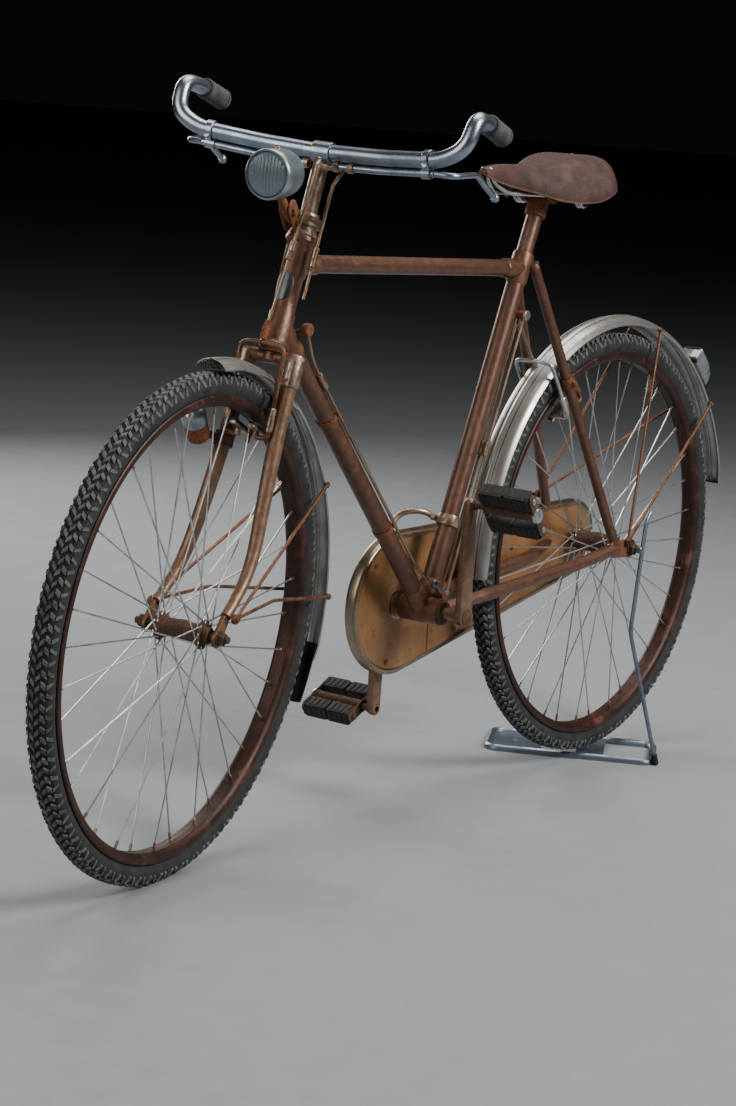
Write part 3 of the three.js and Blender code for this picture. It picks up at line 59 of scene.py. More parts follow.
# Driving sizes in millimetres; angles are in radians, or in degrees where their names say so
WHEELBASE = 1065
STAND_LIFT = 15
TYRE_OUTER = 348
TYRE_STEPS = 48
RIM_EDGE = 317
RIM_INNER = 302
RIM_HALF = 15.5
HUB_FLANGE = 20
HUB_HALF = 32
FRONT_BARREL = 13
REAR_BARREL = 16
SEAT_ANGLE = math.radians(68.3)
PARKED_TURN = math.radians(10)
HEAD_LOW = 402
HEAD_HIGH = 560
TOP_TUBE_ON_HEAD = HEAD_HIGH - 38
DOWN_TUBE_ON_HEAD = HEAD_LOW + 32
SEAT_TUBE_LENGTH = 570
TOP_TUBE_ON_SEAT = SEAT_TUBE_LENGTH - 24
TOP_TUBE_RADIUS = 12.7
MAIN_TUBE_RADIUS = 14.3
HEAD_TUBE_RADIUS = 16
LUG_WALL = 2.2
BB_X = 490
BB_Z = 299
BB_RADIUS = 20.5
BB_HALF = 35
DROPOUT_Y = 60
DROPOUT_THICK = 6
SEAT_POST_TOP = SEAT_TUBE_LENGTH + 85
BLADE_Y = 37
FORK_RAKE = 52
FORK_END_Y = 54
CROWN_LOW = 378
CROWN_HIGH = 398
BAR_RADIUS = 11
BAR_T = HEAD_HIGH + 121
BAR_HALF = 221
BAR_RISE = 75
CRANK_LENGTH = 170
CASE_FRONT_RADIUS = 110
CASE_REAR_RADIUS = 64
CASE_INNER_Y = -46
CASE_THICK = 22
GUARD_HALF = 26
GUARD_DEPTH = 14
GUARD_WALL = 1.2
FRONT_GUARD_RADIUS = 369
REAR_GUARD_RADIUS = 377
PAD_RADIUS = RIM_INNER - 7
PEDAL_TILT = {"left": -0.95, "right": 0.45}
SADDLE_AHEAD = 163
SADDLE_LENGTH = 262
LAMP_LENGTH = 66
BADGE_TURN = 0.95
BADGE_UP = 488
BADGE_HALF = 21
VALVE_DEGREES = 118
AXLE_RADIUS = 4.9
REAR_AXLE_HALF = 80
FRONT_AXLE_HALF = 72

# How far the centre of each guard lies ahead of its wheel's, and above it
FRONT_SHIFT = (-10, -4)
REAR_SHIFT = (-9, -1)

FRONT_GUARD_DEGREES = (90, 196)
REAR_GUARD_DEGREES = (-2.5, 169)
CROWN_DEGREES = 112
FRONT_STAY_DEGREES = (152, 180.5)
REAR_STAY_DEGREES = (106, 144)
GUARD_STAY_RADIUS = 2.5
REAR_LAMP_DEGREES = 134
DYNAMO_CLIP_UP = 268
FRONT_BRAKE_DEGREES = 116
REAR_BRAKE_DEGREES = 53
REAR_STIRRUP_TOP = 390
REAR_STIRRUP_DEGREES = 53.5
BRAKE_ROD_RADIUS = 2.4
SEAT_ROD_RADIUS = 2.2
ROD_BEHIND = 18
ROD_LOW = 34
ROD_HIGH = 478
CRANK_INNER = {"left": 66, "right": 74}
CRANK_THICK = 13
PEDAL_BLOCK_AHEAD = 27
PEDAL_BLOCK_HALF = 11.2
CASE_DISH = 2.4
STAND_HEIGHT = 10
STAND_LENGTH = 287
STAND_WIDTH = 142
STAND_RIM = 14
STAND_TURN = math.radians(118.5)
STAND_PLACE = (-27, -34)
WHEEL_Z = TYRE_OUTER * math.cos(math.pi / TYRE_STEPS)
PITCH = math.asin(STAND_LIFT / WHEELBASE)
BICYCLE_MIDDLE = (480, 0, 480)
TREAD_RADIUS = WHEEL_Z

# The photograph's camera, from a fit to the wheels: metres from the rear hub, degrees, and its focal length
CAMERA_PLACE = (3.69824, 2.19920, 0.74423)
CAMERA_YAW = math.radians(-54.275)
CAMERA_PITCH = math.radians(10.381)
CAMERA_ROLL = math.radians(3.457)
FOCAL_PIXELS = 2635.2
PICTURE_HEIGHT = 1106
SENSOR_HEIGHT = 36

# The studio: half the floor's width in metres, and the linear colour of the dark round it
FLOOR_HALF = 80
STUDIO_DARK = (0.003, 0.0032, 0.0036, 1)


def linear(colour):
    """Turns an sRGB hex colour into linear red, green and blue."""
    channels = [int(colour[i:i + 2], 16) / 255 for i in (1, 3, 5)]
    return tuple(c / 12.92 if c <= 0.04045 else ((c + 0.055) / 1.055) ** 2.4 for c in channels)


# Places


class Bearings:
    """Three directions from a point; at() goes along them in millimetres."""

    def __init__(self, origin, ahead, left, up):
        self.origin, self.ahead, self.left, self.up = origin, ahead, left, up

    def at(self, ahead=0, left=0, up=0):
        return self.origin + (self.ahead * ahead + self.left * left + self.up * up) * MM

    def line(self, *places):
        return [self.at(*place) for place in places]

    def way(self, ahead=0, left=0, up=0):
        return (self.ahead * ahead + self.left * left + self.up * up).normalized()

    def outward(self, degrees):
        turn = math.radians(degrees)
        return self.way(math.cos(turn), 0, math.sin(turn))

    def around(self, radius, degrees, left=0, ahead=0, up=0):
        """A place on a circle in the plane of ahead and up, its centre moved by ahead and up."""
        turn = math.radians(degrees)
        return self.at(ahead + radius * math.cos(turn), left, up + radius * math.sin(turn))


joints = {joint["name"]: joint for joint in frame["joints"]}


def pivot(name):
    return Vector(joints[name]["pos_m"])


def pivot_axis(name):
    return Vector(joints[name]["axis"]).normalized()


SIDE = Vector((0, 1, 0))
FORWARD = Vector((math.cos(PITCH), 0, -math.sin(PITCH)))
UPWARD = Vector((math.sin(PITCH), 0, math.cos(PITCH)))
HEAD_WAY = pivot_axis("steering")
TURN = Quaternion(HEAD_WAY, PARKED_TURN)
REAR = Bearings(pivot("rear_wheel"), FORWARD, SIDE, UPWARD)
FRONT = Bearings(pivot("front_wheel"), TURN @ FORWARD, TURN @ SIDE, TURN @ UPWARD)
BIKE = Bearings(REAR.at(0, 0, -WHEEL_Z), FORWARD, SIDE, UPWARD)
CRANK = Bearings(pivot("crank"), FORWARD, SIDE, UPWARD)
HEAD = Bearings(pivot("steering"), SIDE.cross(HEAD_WAY), SIDE, HEAD_WAY)
STEER = Bearings(pivot("steering"), TURN @ HEAD.ahead, TURN @ SIDE, HEAD_WAY)
SEAT_WAY = FORWARD * -math.cos(SEAT_ANGLE) + UPWARD * math.sin(SEAT_ANGLE)
SEAT = Bearings(pivot("crank"), SIDE.cross(SEAT_WAY), SIDE, SEAT_WAY)
STAND = Bearings(
    Vector((BIKE.origin.x + STAND_PLACE[0] * MM, BIKE.origin.y + STAND_PLACE[1] * MM, 0)),
    Vector((math.cos(STAND_TURN), math.sin(STAND_TURN), 0)),
    Vector((-math.sin(STAND_TURN), math.cos(STAND_TURN), 0)),
    Vector((0, 0, 1)),
)
SADDLE = Bearings(SEAT.at(up=SEAT_POST_TOP + 8), FORWARD, SIDE, UPWARD)
BOTH = (("left", 1), ("right", -1))
HEAD_FOR_TOP = HEAD.at(up=TOP_TUBE_ON_HEAD)
HEAD_FOR_DOWN = HEAD.at(up=DOWN_TUBE_ON_HEAD)
SEAT_FOR_TOP = SEAT.at(up=TOP_TUBE_ON_SEAT)
TOP_WAY = (SEAT_FOR_TOP - HEAD_FOR_TOP).normalized()
DOWN_WAY = (CRANK.origin - HEAD_FOR_DOWN).normalized()


# Mesh making


def bent(points, bend, steps):
    """The points of a line with its corners rounded; bend is in millimetres."""
    out = [points[0]]
    for before, here, after in zip(points, points[1:], points[2:]):
        reach = min(bend * MM, 0.48 * (here - before).length, 0.48 * (after - here).length)
        start = here + (before - here).normalized() * reach
        end = here + (after - here).normalized() * reach
        for i in range(steps + 1):
            t = i / steps
            out.append(start * (1 - t) ** 2 + here * (2 * t * (1 - t)) + end * t ** 2)
    out.append(points[-1])
    return out


def side_on(way):
    """Two directions square to a direction and to each other."""
    guide = Vector((0, 1, 0)) if abs(way.y) < 0.9 else Vector((1, 0, 0))
    first = way.cross(guide).normalized()
    return first, way.cross(first)


def circle(centre, way, radius, sides, first=None):
    """A ring of points round a centre; radius is in millimetres."""
    one, two = side_on(way) if first is None else (first, way.cross(first))
    turns = [2 * math.pi * i / sides for i in range(sides)]
    return [centre + (one * math.cos(t) + two * math.sin(t)) * radius * MM for t in turns]


class Piece:
    """A mesh in the making, from closed parts that each have a material's number."""

    def __init__(self, name):
        self.name = name
        self.mesh = bmesh.new()

    def face(self, corners, paint):
        made = self.mesh.faces.new(corners)
        made.material_index = paint

    def skin(self, rings, paint=0, closed=False, caps=True):
        """Skins rings of equally many points; paint is one number or one for each point of a ring."""
        rows = [[self.mesh.verts.new(p) for p in ring] for ring in rings]
        count = len(rows[0])
        pairs = list(zip(rows, rows[1:])) + ([(rows[-1], rows[0])] if closed else [])
        for low, high in pairs:
            for i in range(count):
                j = (i + 1) % count
                number = paint if isinstance(paint, int) else paint[i]
                self.face((low[i], low[j], high[j], high[i]), number)
        if caps and not closed:
            end = paint if isinstance(paint, int) else paint[0]
            self.face(rows[0][::-1], end)
            self.face(rows[-1], end)

    def tube(self, points, radius, sides=20, bend=0, steps=6, paint=0):
        """A round tube along points; radius is one number or one for each point of a line with no bend."""
        line = bent(points, bend, steps) if bend else list(points)
        radii = [radius] * len(line) if isinstance(radius, (int, float)) else radius
        ways = [(b - a).normalized() for a, b in zip(line, line[1:])]
        mean = [ways[0]] + [(a + b).normalized() for a, b in zip(ways, ways[1:])] + [ways[-1]]
        first = side_on(mean[0])[0]
        rings = []
        for place, way, size in zip(line, mean, radii):
            first = (first - way * first.dot(way)).normalized()
            rings.append(circle(place, way, size, sides, first))
        self.skin(rings, paint)

    def turned(self, centre, way, profile, sides=48, paint=0, closed=False):
        """A body turned about a direction, from [radius, place along it] pairs."""
        one, two = side_on(way)
        rings = []
        for i in range(sides):
            t = 2 * math.pi * i / sides
            out = one * math.cos(t) + two * math.sin(t)
            rings.append([centre + (out * max(r, 0.02) + way * a) * MM for r, a in profile])
        if closed:
            self.skin(rings, paint, closed=True)
        else:
            rows = [[ring[k] for ring in rings] for k in range(len(profile))]
            self.skin(rows, paint)

    def cylinder(self, start, end, radius, sides=24, paint=0, edge=0.6):
        """A rod with small chamfers at both ends."""
        length = (end - start).length / MM
        edge = min(edge, radius * 0.4, length * 0.3)
        profile = [(radius - edge, 0), (radius, edge), (radius, length - edge), (radius - edge, length)]
        self.turned(start, (end - start).normalized(), profile, sides, paint)

    def nut(self, start, way, across, thick, paint=0):
        """A hexagonal nut; across is over its corners."""
        one, _ = side_on(way)
        levels = ((0, across * 0.92), (1, across), (thick - 1, across), (thick, across * 0.9))
        self.skin([circle(start + way * a * MM, way, d / 2, 6, one) for a, d in levels], paint)

    def plate(self, outline, bearings, low, high, edge=1.0, paint=0):
        """A plate with rounded edges, low to high along left; outline(inset) gives [ahead, up] pairs."""
        levels = ((low, edge), (low + edge * 0.4, edge * 0.3), (low + edge, 0))
        levels += ((high - edge, 0), (high - edge * 0.4, edge * 0.3), (high, edge))
        self.skin([[bearings.at(x, y, z) for x, z in outline(inset)] for y, inset in levels], paint)

    def block(self, bearings, low, high, edge=1.0, paint=0):
        """A box with chamfered edges between two corners, each [ahead, left, up]."""
        (x0, y0, z0), (x1, y1, z1) = low, high

        def outline(inset):
            return [
                (x0 + inset, z0 + inset), (x1 - inset, z0 + inset), (x1 - inset, z1 - inset),
                (x0 + inset, z1 - inset),
            ]

        self.plate(outline, bearings, y0, y1, edge, paint)

    def done(self, body, finishes, nodes=(), smooth=35):
        """Makes the object, smooth but for its sharp edges; finishes are the names of paints."""
        bmesh.ops.recalc_face_normals(self.mesh, faces=self.mesh.faces)
        data = bpy.data.meshes.new(self.name)
        self.mesh.to_mesh(data)
        self.mesh.free()
        data.shade_smooth()
        data.set_sharp_from_angle(angle=math.radians(smooth))
        for finish in finishes.split():
            data.materials.append(paints[finish])
        made = bpy.data.objects.new(self.name, data)
        bpy.context.scene.collection.objects.link(made)
        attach(made, body)
        if nodes:
            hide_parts(*nodes)
        return made


def band(inner, outer, half, drop=0, width=0):
    """The profile of a band round a tube; its outer edges are cut by a drop over a width."""
    if not drop:
        return [(inner, -half), (outer, -half), (outer, half), (inner, half)]
    return [
        (inner, -half), (outer - drop, -half), (outer, width - half), (outer, half - width),
        (outer - drop, half), (inner, half),
    ]


def link_outline(a, ra, b, rb, steps=24):
    """The outline of two circles and the lines that touch both, as a function of an inset."""
    way = math.atan2(b[1] - a[1], b[0] - a[0])
    lean = math.acos((ra - rb) / math.hypot(b[0] - a[0], b[1] - a[1]))

    def outline(inset=0):
        points = []
        for i in range(steps + 1):
            t = way + lean + (2 * math.pi - 2 * lean) * i / steps
            points.append((a[0] + (ra - inset) * math.cos(t), a[1] + (ra - inset) * math.sin(t)))
        for i in range(steps + 1):
            t = way - lean + 2 * lean * i / steps
            points.append((b[0] + (rb - inset) * math.cos(t), b[1] + (rb - inset) * math.sin(t)))
        return points

    return outline


def smooth_rows(rows, steps):
    """Rows of numbers with smooth ones between them, through a Catmull-Rom curve."""
    padded = [rows[0]] + list(rows) + [rows[-1]]
    out = []
    for p, q, r, s in zip(padded, padded[1:], padded[2:], padded[3:]):
        for i in range(steps):
            t = i / steps
            weights = (
                -t + 2 * t ** 2 - t ** 3, 2 - 5 * t ** 2 + 3 * t ** 3, t + 4 * t ** 2 - 3 * t ** 3,
                t ** 3 - t ** 2,
            )
            out.append([sum(w * v for w, v in zip(weights, column)) / 2 for column in zip(p, q, r, s)])
    out.append(list(rows[-1]))
    return out


def rounded_rectangle(length, width, radius, steps=8):
    """The points of a rectangle with round corners."""
    points = []
    for k, (sx, sy) in enumerate(((1, -1), (1, 1), (-1, 1), (-1, -1))):
        for i in range(steps + 1):
            t = math.pi / 2 * (k - 1 + i / steps)
            x = sx * (length / 2 - radius) + radius * math.cos(t)
            points.append((x, sy * (width / 2 - radius) + radius * math.sin(t)))
    return points


# Materials


def add(tree, kind, inputs=None, stops=None, **settings):
    """Adds a node with its settings; an input given as a socket is linked, and stops are a ramp's."""
    node = tree.nodes.new("ShaderNode" + kind)
    for key, value in settings.items():
        setattr(node, key, value)
    for key, value in (inputs or {}).items():
        if isinstance(value, bpy.types.NodeSocket):
            tree.links.new(value, node.inputs[key])
        else:
            node.inputs[key].default_value = value
    if stops:
        ramp = node.color_ramp
        while len(ramp.elements) < len(stops):
            ramp.elements.new(0.5)
        for element, (place, value) in zip(ramp.elements, stops):
            element.position = place
            element.color = (value, value, value, 1)
    return node


def start(name):
    """A new material with its tree, its shader and the rest place of each point."""
    material = bpy.data.materials.new(name)
    material.use_nodes = True
    tree = material.node_tree
    shader = tree.nodes["Principled BSDF"]
    place = add(tree, "TexCoord").outputs["Object"]
    return material, tree, shader, place


def mottle(tree, place, grain_mm, low, high, detail=6, rough=0.6, stretch=(1, 1, 1)):
    """A mask of patches of about a size: 0 where its noise is under low, 1 where it is over high."""
    spot = add(
        tree,
        "Mapping",
        {"Vector": place, "Scale": stretch, "Location": (grain_mm * 0.37, grain_mm * 0.11, 0)},
    )
    inputs = {"Vector": spot.outputs[0], "Scale": 1 / (grain_mm * MM), "Detail": detail, "Roughness": rough}
    noise = add(tree, "TexNoise", inputs)
    return add(tree, "ValToRGB", {"Fac": noise.outputs["Fac"]}, stops=((low, 0), (high, 1))).outputs["Color"]


def tint(tree, mask, under, over):
    """Mixes two colours, each a socket or linear red, green and blue, by a mask."""
    colours = [c if isinstance(c, bpy.types.NodeSocket) else (*c, 1) for c in (under, over)]
    mix = add(tree, "Mix", {0: mask}, data_type="RGBA")
    for socket, colour in zip((mix.inputs[6], mix.inputs[7]), colours):
        if isinstance(colour, bpy.types.NodeSocket):
            tree.links.new(colour, socket)
        else:
            socket.default_value = colour
    return mix.outputs[2]


def between(tree, mask, low, high):
    """A number that goes from low to high with a mask."""
    return add(tree, "MapRange", {"Value": mask, "To Min": low, "To Max": high}).outputs["Result"]


def relief(tree, shader, heights, depth_mm):
    """Bumps the surface by the sum of masks, each with a share of the depth."""
    total = None
    for mask, share in heights:
        part = add(tree, "Math", {0: mask, 1: share}, operation="MULTIPLY").outputs[0]
        total = part if total is None else add(tree, "Math", {0: total, 1: part}, operation="ADD").outputs[0]
    bump = add(tree, "Bump", {"Height": total, "Distance": depth_mm * MM, "Strength": 1.0})
    tree.links.new(bump.outputs[0], shader.inputs["Normal"])


def finish_surface(tree, shader, colour, rough, metal):
    """Links or sets a shader's colour, roughness and metallic."""
    for key, value in (("Base Color", colour), ("Roughness", rough), ("Metallic", metal)):
        if isinstance(value, bpy.types.NodeSocket):
            tree.links.new(value, shader.inputs[key])
        else:
            shader.inputs[key].default_value = value


def aged_enamel(name, base, worn, rust, rust_low=0.52, rust_high=0.62):
    """Stove enamel on steel tube, rusted through: brown, dry and scaly, with paler rubbed ridges."""
    material, tree, shader, place = start(name)
    scale = mottle(tree, place, 14, 0.42, 0.6, 8, 0.7)
    rusty = mottle(tree, place, 38, rust_low, rust_high, 8, 0.75)
    pits = mottle(tree, place, 2.2, 0.45, 0.65, 4, 0.6)
    dark = mottle(tree, place, 7, 0.55, 0.7, 6, 0.7)
    colour = tint(tree, scale, linear(base), linear(worn))
    colour = tint(tree, rusty, colour, linear(rust))
    colour = tint(tree, between(tree, dark, 0, 0.28), colour, linear("#3a261f"))
    colour = tint(tree, between(tree, pits, 0, 0.3), colour, linear("#52352a"))
    finish_surface(tree, shader, colour, between(tree, rusty, 0.34, 0.66), between(tree, rusty, 0.4, 0.1))
    relief(tree, shader, ((pits, 0.4), (scale, 0.4), (rusty, 0.5)), 0.22)
    return material


def bare_rust(name, base, deep, bright):
    """Uncoated mild steel left in the damp: granular orange and brown rust with dark pits."""
    material, tree, shader, place = start(name)
    grain = mottle(tree, place, 3, 0.4, 0.62, 6, 0.7)
    patch = mottle(tree, place, 20, 0.4, 0.62, 8, 0.75)
    colour = tint(tree, patch, linear(base), linear(bright))
    colour = tint(tree, between(tree, grain, 0, 0.7), colour, linear(deep))
    finish_surface(tree, shader, colour, between(tree, grain, 0.7, 0.92), 0.1)
    relief(tree, shader, ((grain, 0.6), (patch, 0.5)), 0.3)
    return material


def pitted_chrome(name, bright, dull, speck, amount=0.6):
    """Chrome plate gone grey: a soft mirror clouded by grime, with pinholes of rust."""
    material, tree, shader, place = start(name)
    cloud = mottle(tree, place, 26, 0.3, 0.75, 3, 0.5)
    pins = mottle(tree, place, 1.8, amount, amount + 0.08, 3, 0.5)
    bloom = mottle(tree, place, 16, 0.6, 0.72, 8, 0.75)
    colour = tint(tree, cloud, linear(bright), linear(dull))
    colour = tint(tree, between(tree, bloom, 0, 0.8), colour, linear(speck))
    colour = tint(tree, between(tree, pins, 0, 0.85), colour, linear(speck))
    finish_surface(tree, shader, colour, between(tree, cloud, 0.26, 0.38), between(tree, bloom, 0.95, 0.45))
    relief(tree, shader, ((pins, 0.3), (bloom, 0.3)), 0.008)
    return material


def drawn_wire(name, bright, dull, rust, low=0.56):
    """Galvanised drawn steel wire: pale grey and satin, with brown spots."""
    material, tree, shader, place = start(name)
    spots = mottle(tree, place, 9, low, low + 0.12, 6, 0.7)
    cloud = mottle(tree, place, 30, 0.35, 0.65, 4, 0.6)
    colour = tint(tree, cloud, linear(bright), linear(dull))
    colour = tint(tree, between(tree, spots, 0, 0.85), colour, linear(rust))
    finish_surface(tree, shader, colour, between(tree, spots, 0.32, 0.7), between(tree, spots, 0.9, 0.3))
    relief(tree, shader, ((spots, 1.0),), 0.08)
    return material


def silver_paint(name, base, shade, rust):
    """Aluminium paint on pressed sheet: warm silver grey, rubbed, with rust specks and runs."""
    material, tree, shader, place = start(name)
    cloud = mottle(tree, place, 45, 0.35, 0.68, 7, 0.65)
    specks = mottle(tree, place, 2.6, 0.62, 0.7, 4, 0.6)
    patches = mottle(tree, place, 24, 0.62, 0.74, 8, 0.78)
    runs = mottle(tree, place, 12, 0.6, 0.75, 6, 0.7, (1, 1, 0.3))
    colour = tint(tree, cloud, linear(base), linear(shade))
    colour = tint(tree, between(tree, runs, 0, 0.35), colour, linear("#7c7263"))
    colour = tint(tree, between(tree, specks, 0, 0.8), colour, linear(rust))
    colour = tint(tree, between(tree, patches, 0, 0.85), colour, linear(rust))
    finish_surface(tree, shader, colour, between(tree, cloud, 0.3, 0.46), between(tree, patches, 0.85, 0.1))
    relief(tree, shader, ((specks, 0.4), (patches, 0.6), (cloud, 0.3)), 0.1)
    return material


def faded_enamel(name, base, warm, rust):
    """Beige enamel on the pressed case, chalked by the sun, with rust coming through in scabs."""
    material, tree, shader, place = start(name)
    cloud = mottle(tree, place, 60, 0.38, 0.62, 7, 0.65)
    scabs = mottle(tree, place, 18, 0.56, 0.66, 9, 0.78)
    runs = mottle(tree, place, 42, 0.42, 0.66, 8, 0.72, (1, 1, 0.7))
    specks = mottle(tree, place, 2.4, 0.6, 0.68, 4, 0.6)
    colour = tint(tree, cloud, linear(base), linear(warm))
    colour = tint(tree, between(tree, runs, 0, 0.62), colour, linear("#74492b"))
    colour = tint(tree, between(tree, scabs, 0, 0.9), colour, linear(rust))
    colour = tint(tree, between(tree, specks, 0, 0.7), colour, linear("#5a3522"))
    finish_surface(tree, shader, colour, between(tree, scabs, 0.45, 0.85), between(tree, scabs, 0.2, 0.0))
    relief(tree, shader, ((scabs, 0.7), (specks, 0.4), (cloud, 0.3)), 0.25)
    return material


def rim_steel(name, base, bright, dark):
    """A steel rim whose plating has gone to a red-brown film of rust, still smooth enough to shine."""
    material, tree, shader, place = start(name)
    cloud = mottle(tree, place, 30, 0.36, 0.64, 7, 0.7)
    orange = mottle(tree, place, 48, 0.54, 0.68, 8, 0.75)
    grain = mottle(tree, place, 3, 0.45, 0.66, 5, 0.65)
    colour = tint(tree, cloud, linear(base), linear(dark))
    colour = tint(tree, between(tree, orange, 0, 0.8), colour, linear(bright))
    colour = tint(tree, between(tree, grain, 0, 0.35), colour, linear("#3b211a"))
    finish_surface(tree, shader, colour, between(tree, orange, 0.46, 0.72), between(tree, orange, 0.5, 0.15))
    relief(tree, shader, ((grain, 0.6), (orange, 0.5)), 0.15)
    return material


def old_rubber(name, base, dust, dusty_low=0.4, dusty_high=0.6, crack_mm=5.0):
    """Vulcanised rubber, perished and dusty: dull dark grey with pale dust and fine cracks."""
    material, tree, shader, place = start(name)
    dusty = mottle(tree, place, 22, dusty_low, dusty_high, 8, 0.72)
    cells = add(
        tree, "TexVoronoi", {"Vector": place, "Scale": 1 / (crack_mm * MM)}, feature="DISTANCE_TO_EDGE"
    )
    cracks = add(
        tree, "ValToRGB", {"Fac": cells.outputs["Distance"]}, stops=((0.0, 0), (0.06, 1))
    ).outputs["Color"]
    grain = mottle(tree, place, 1.6, 0.4, 0.66, 4, 0.6)
    colour = tint(tree, dusty, linear(base), linear(dust))
    colour = tint(tree, between(tree, cracks, 0.35, 0), colour, linear("#181715"))
    finish_surface(tree, shader, colour, between(tree, dusty, 0.72, 0.95), 0.0)
    relief(tree, shader, ((cracks, 0.5), (grain, 0.4)), 0.2)
    return material


def saddle_hide(name, base, dark, worn):
    """Thick vegetable-tanned cowhide, dried out: red-brown, creased, dark with sweat, pale where rubbed."""
    material, tree, shader, place = start(name)
    cloud = mottle(tree, place, 40, 0.36, 0.62, 7, 0.65)
    rubbed = mottle(tree, place, 14, 0.58, 0.72, 8, 0.75)
    cells = add(tree, "TexVoronoi", {"Vector": place, "Scale": 1 / (3.2 * MM)}, feature="DISTANCE_TO_EDGE")
    creases = add(
        tree, "ValToRGB", {"Fac": cells.outputs["Distance"]}, stops=((0.0, 0), (0.12, 1))
    ).outputs["Color"]
    pores = mottle(tree, place, 1.1, 0.4, 0.66, 4, 0.6)
    colour = tint(tree, cloud, linear(base), linear(dark))
    colour = tint(tree, between(tree, rubbed, 0, 0.6), colour, linear(worn))
    colour = tint(tree, between(tree, creases, 0.4, 0), colour, linear("#1f0f0b"))
    finish_surface(tree, shader, colour, between(tree, cloud, 0.58, 0.76), 0.0)
    relief(tree, shader, ((creases, 0.5), (pores, 0.35), (cloud, 0.3)), 0.12)
    return material


def lamp_alloy(name, base, shade):
    """Spun aluminium, dull with oxide: silver with faint turning lines and grey bloom."""
    material, tree, shader, place = start(name)
    cloud = mottle(tree, place, 20, 0.35, 0.66, 7, 0.68)
    specks = mottle(tree, place, 1.6, 0.62, 0.7, 3, 0.5)
    colour = tint(tree, cloud, linear(base), linear(shade))
    colour = tint(tree, between(tree, specks, 0, 0.6), colour, linear("#5f5a52"))
    finish_surface(tree, shader, colour, between(tree, cloud, 0.28, 0.45), 0.85)
    relief(tree, shader, ((specks, 0.6), (cloud, 0.4)), 0.08)
    return material


def pressed_glass(name, colour, dusty):
    """Moulded soda glass with a film of dust; it stands before a dull reflector, so it reads pale."""
    material, tree, shader, place = start(name)
    film = mottle(tree, place, 9, 0.4, 0.7, 6, 0.7)
    finish_surface(
        tree, shader, tint(tree, film, linear(colour), linear(dusty)), between(tree, film, 0.1, 0.35), 0.0
    )
    shader.inputs["IOR"].default_value = 1.52
    shader.inputs["Coat Weight"].default_value = 0.6
    return material


def zinc_plate(name, base, shade):
    """Bright zinc plate on pressed steel, dulled to a bluish grey with faint spangle."""
    material, tree, shader, place = start(name)
    cloud = mottle(tree, place, 35, 0.35, 0.66, 6, 0.65)
    scuffs = mottle(tree, place, 5, 0.58, 0.7, 6, 0.7, (1, 0.25, 1))
    colour = tint(tree, cloud, linear(base), linear(shade))
    colour = tint(tree, between(tree, scuffs, 0, 0.5), colour, linear("#5c6066"))
    finish_surface(tree, shader, colour, between(tree, cloud, 0.3, 0.48), 0.85)
    relief(tree, shader, ((scuffs, 0.5), (cloud, 0.3)), 0.1)
    return material


def studio_plaster(name, base):
    """Matt plaster floor: plain and even."""
    material, tree, shader, place = start(name)
    grain = mottle(tree, place, 60, 0.3, 0.7, 5, 0.6)
    colour = tint(tree, grain, tuple(base), tuple(c * 0.9 for c in base))
    finish_surface(tree, shader, colour, 0.9, 0.0)
    return material


paints = {}


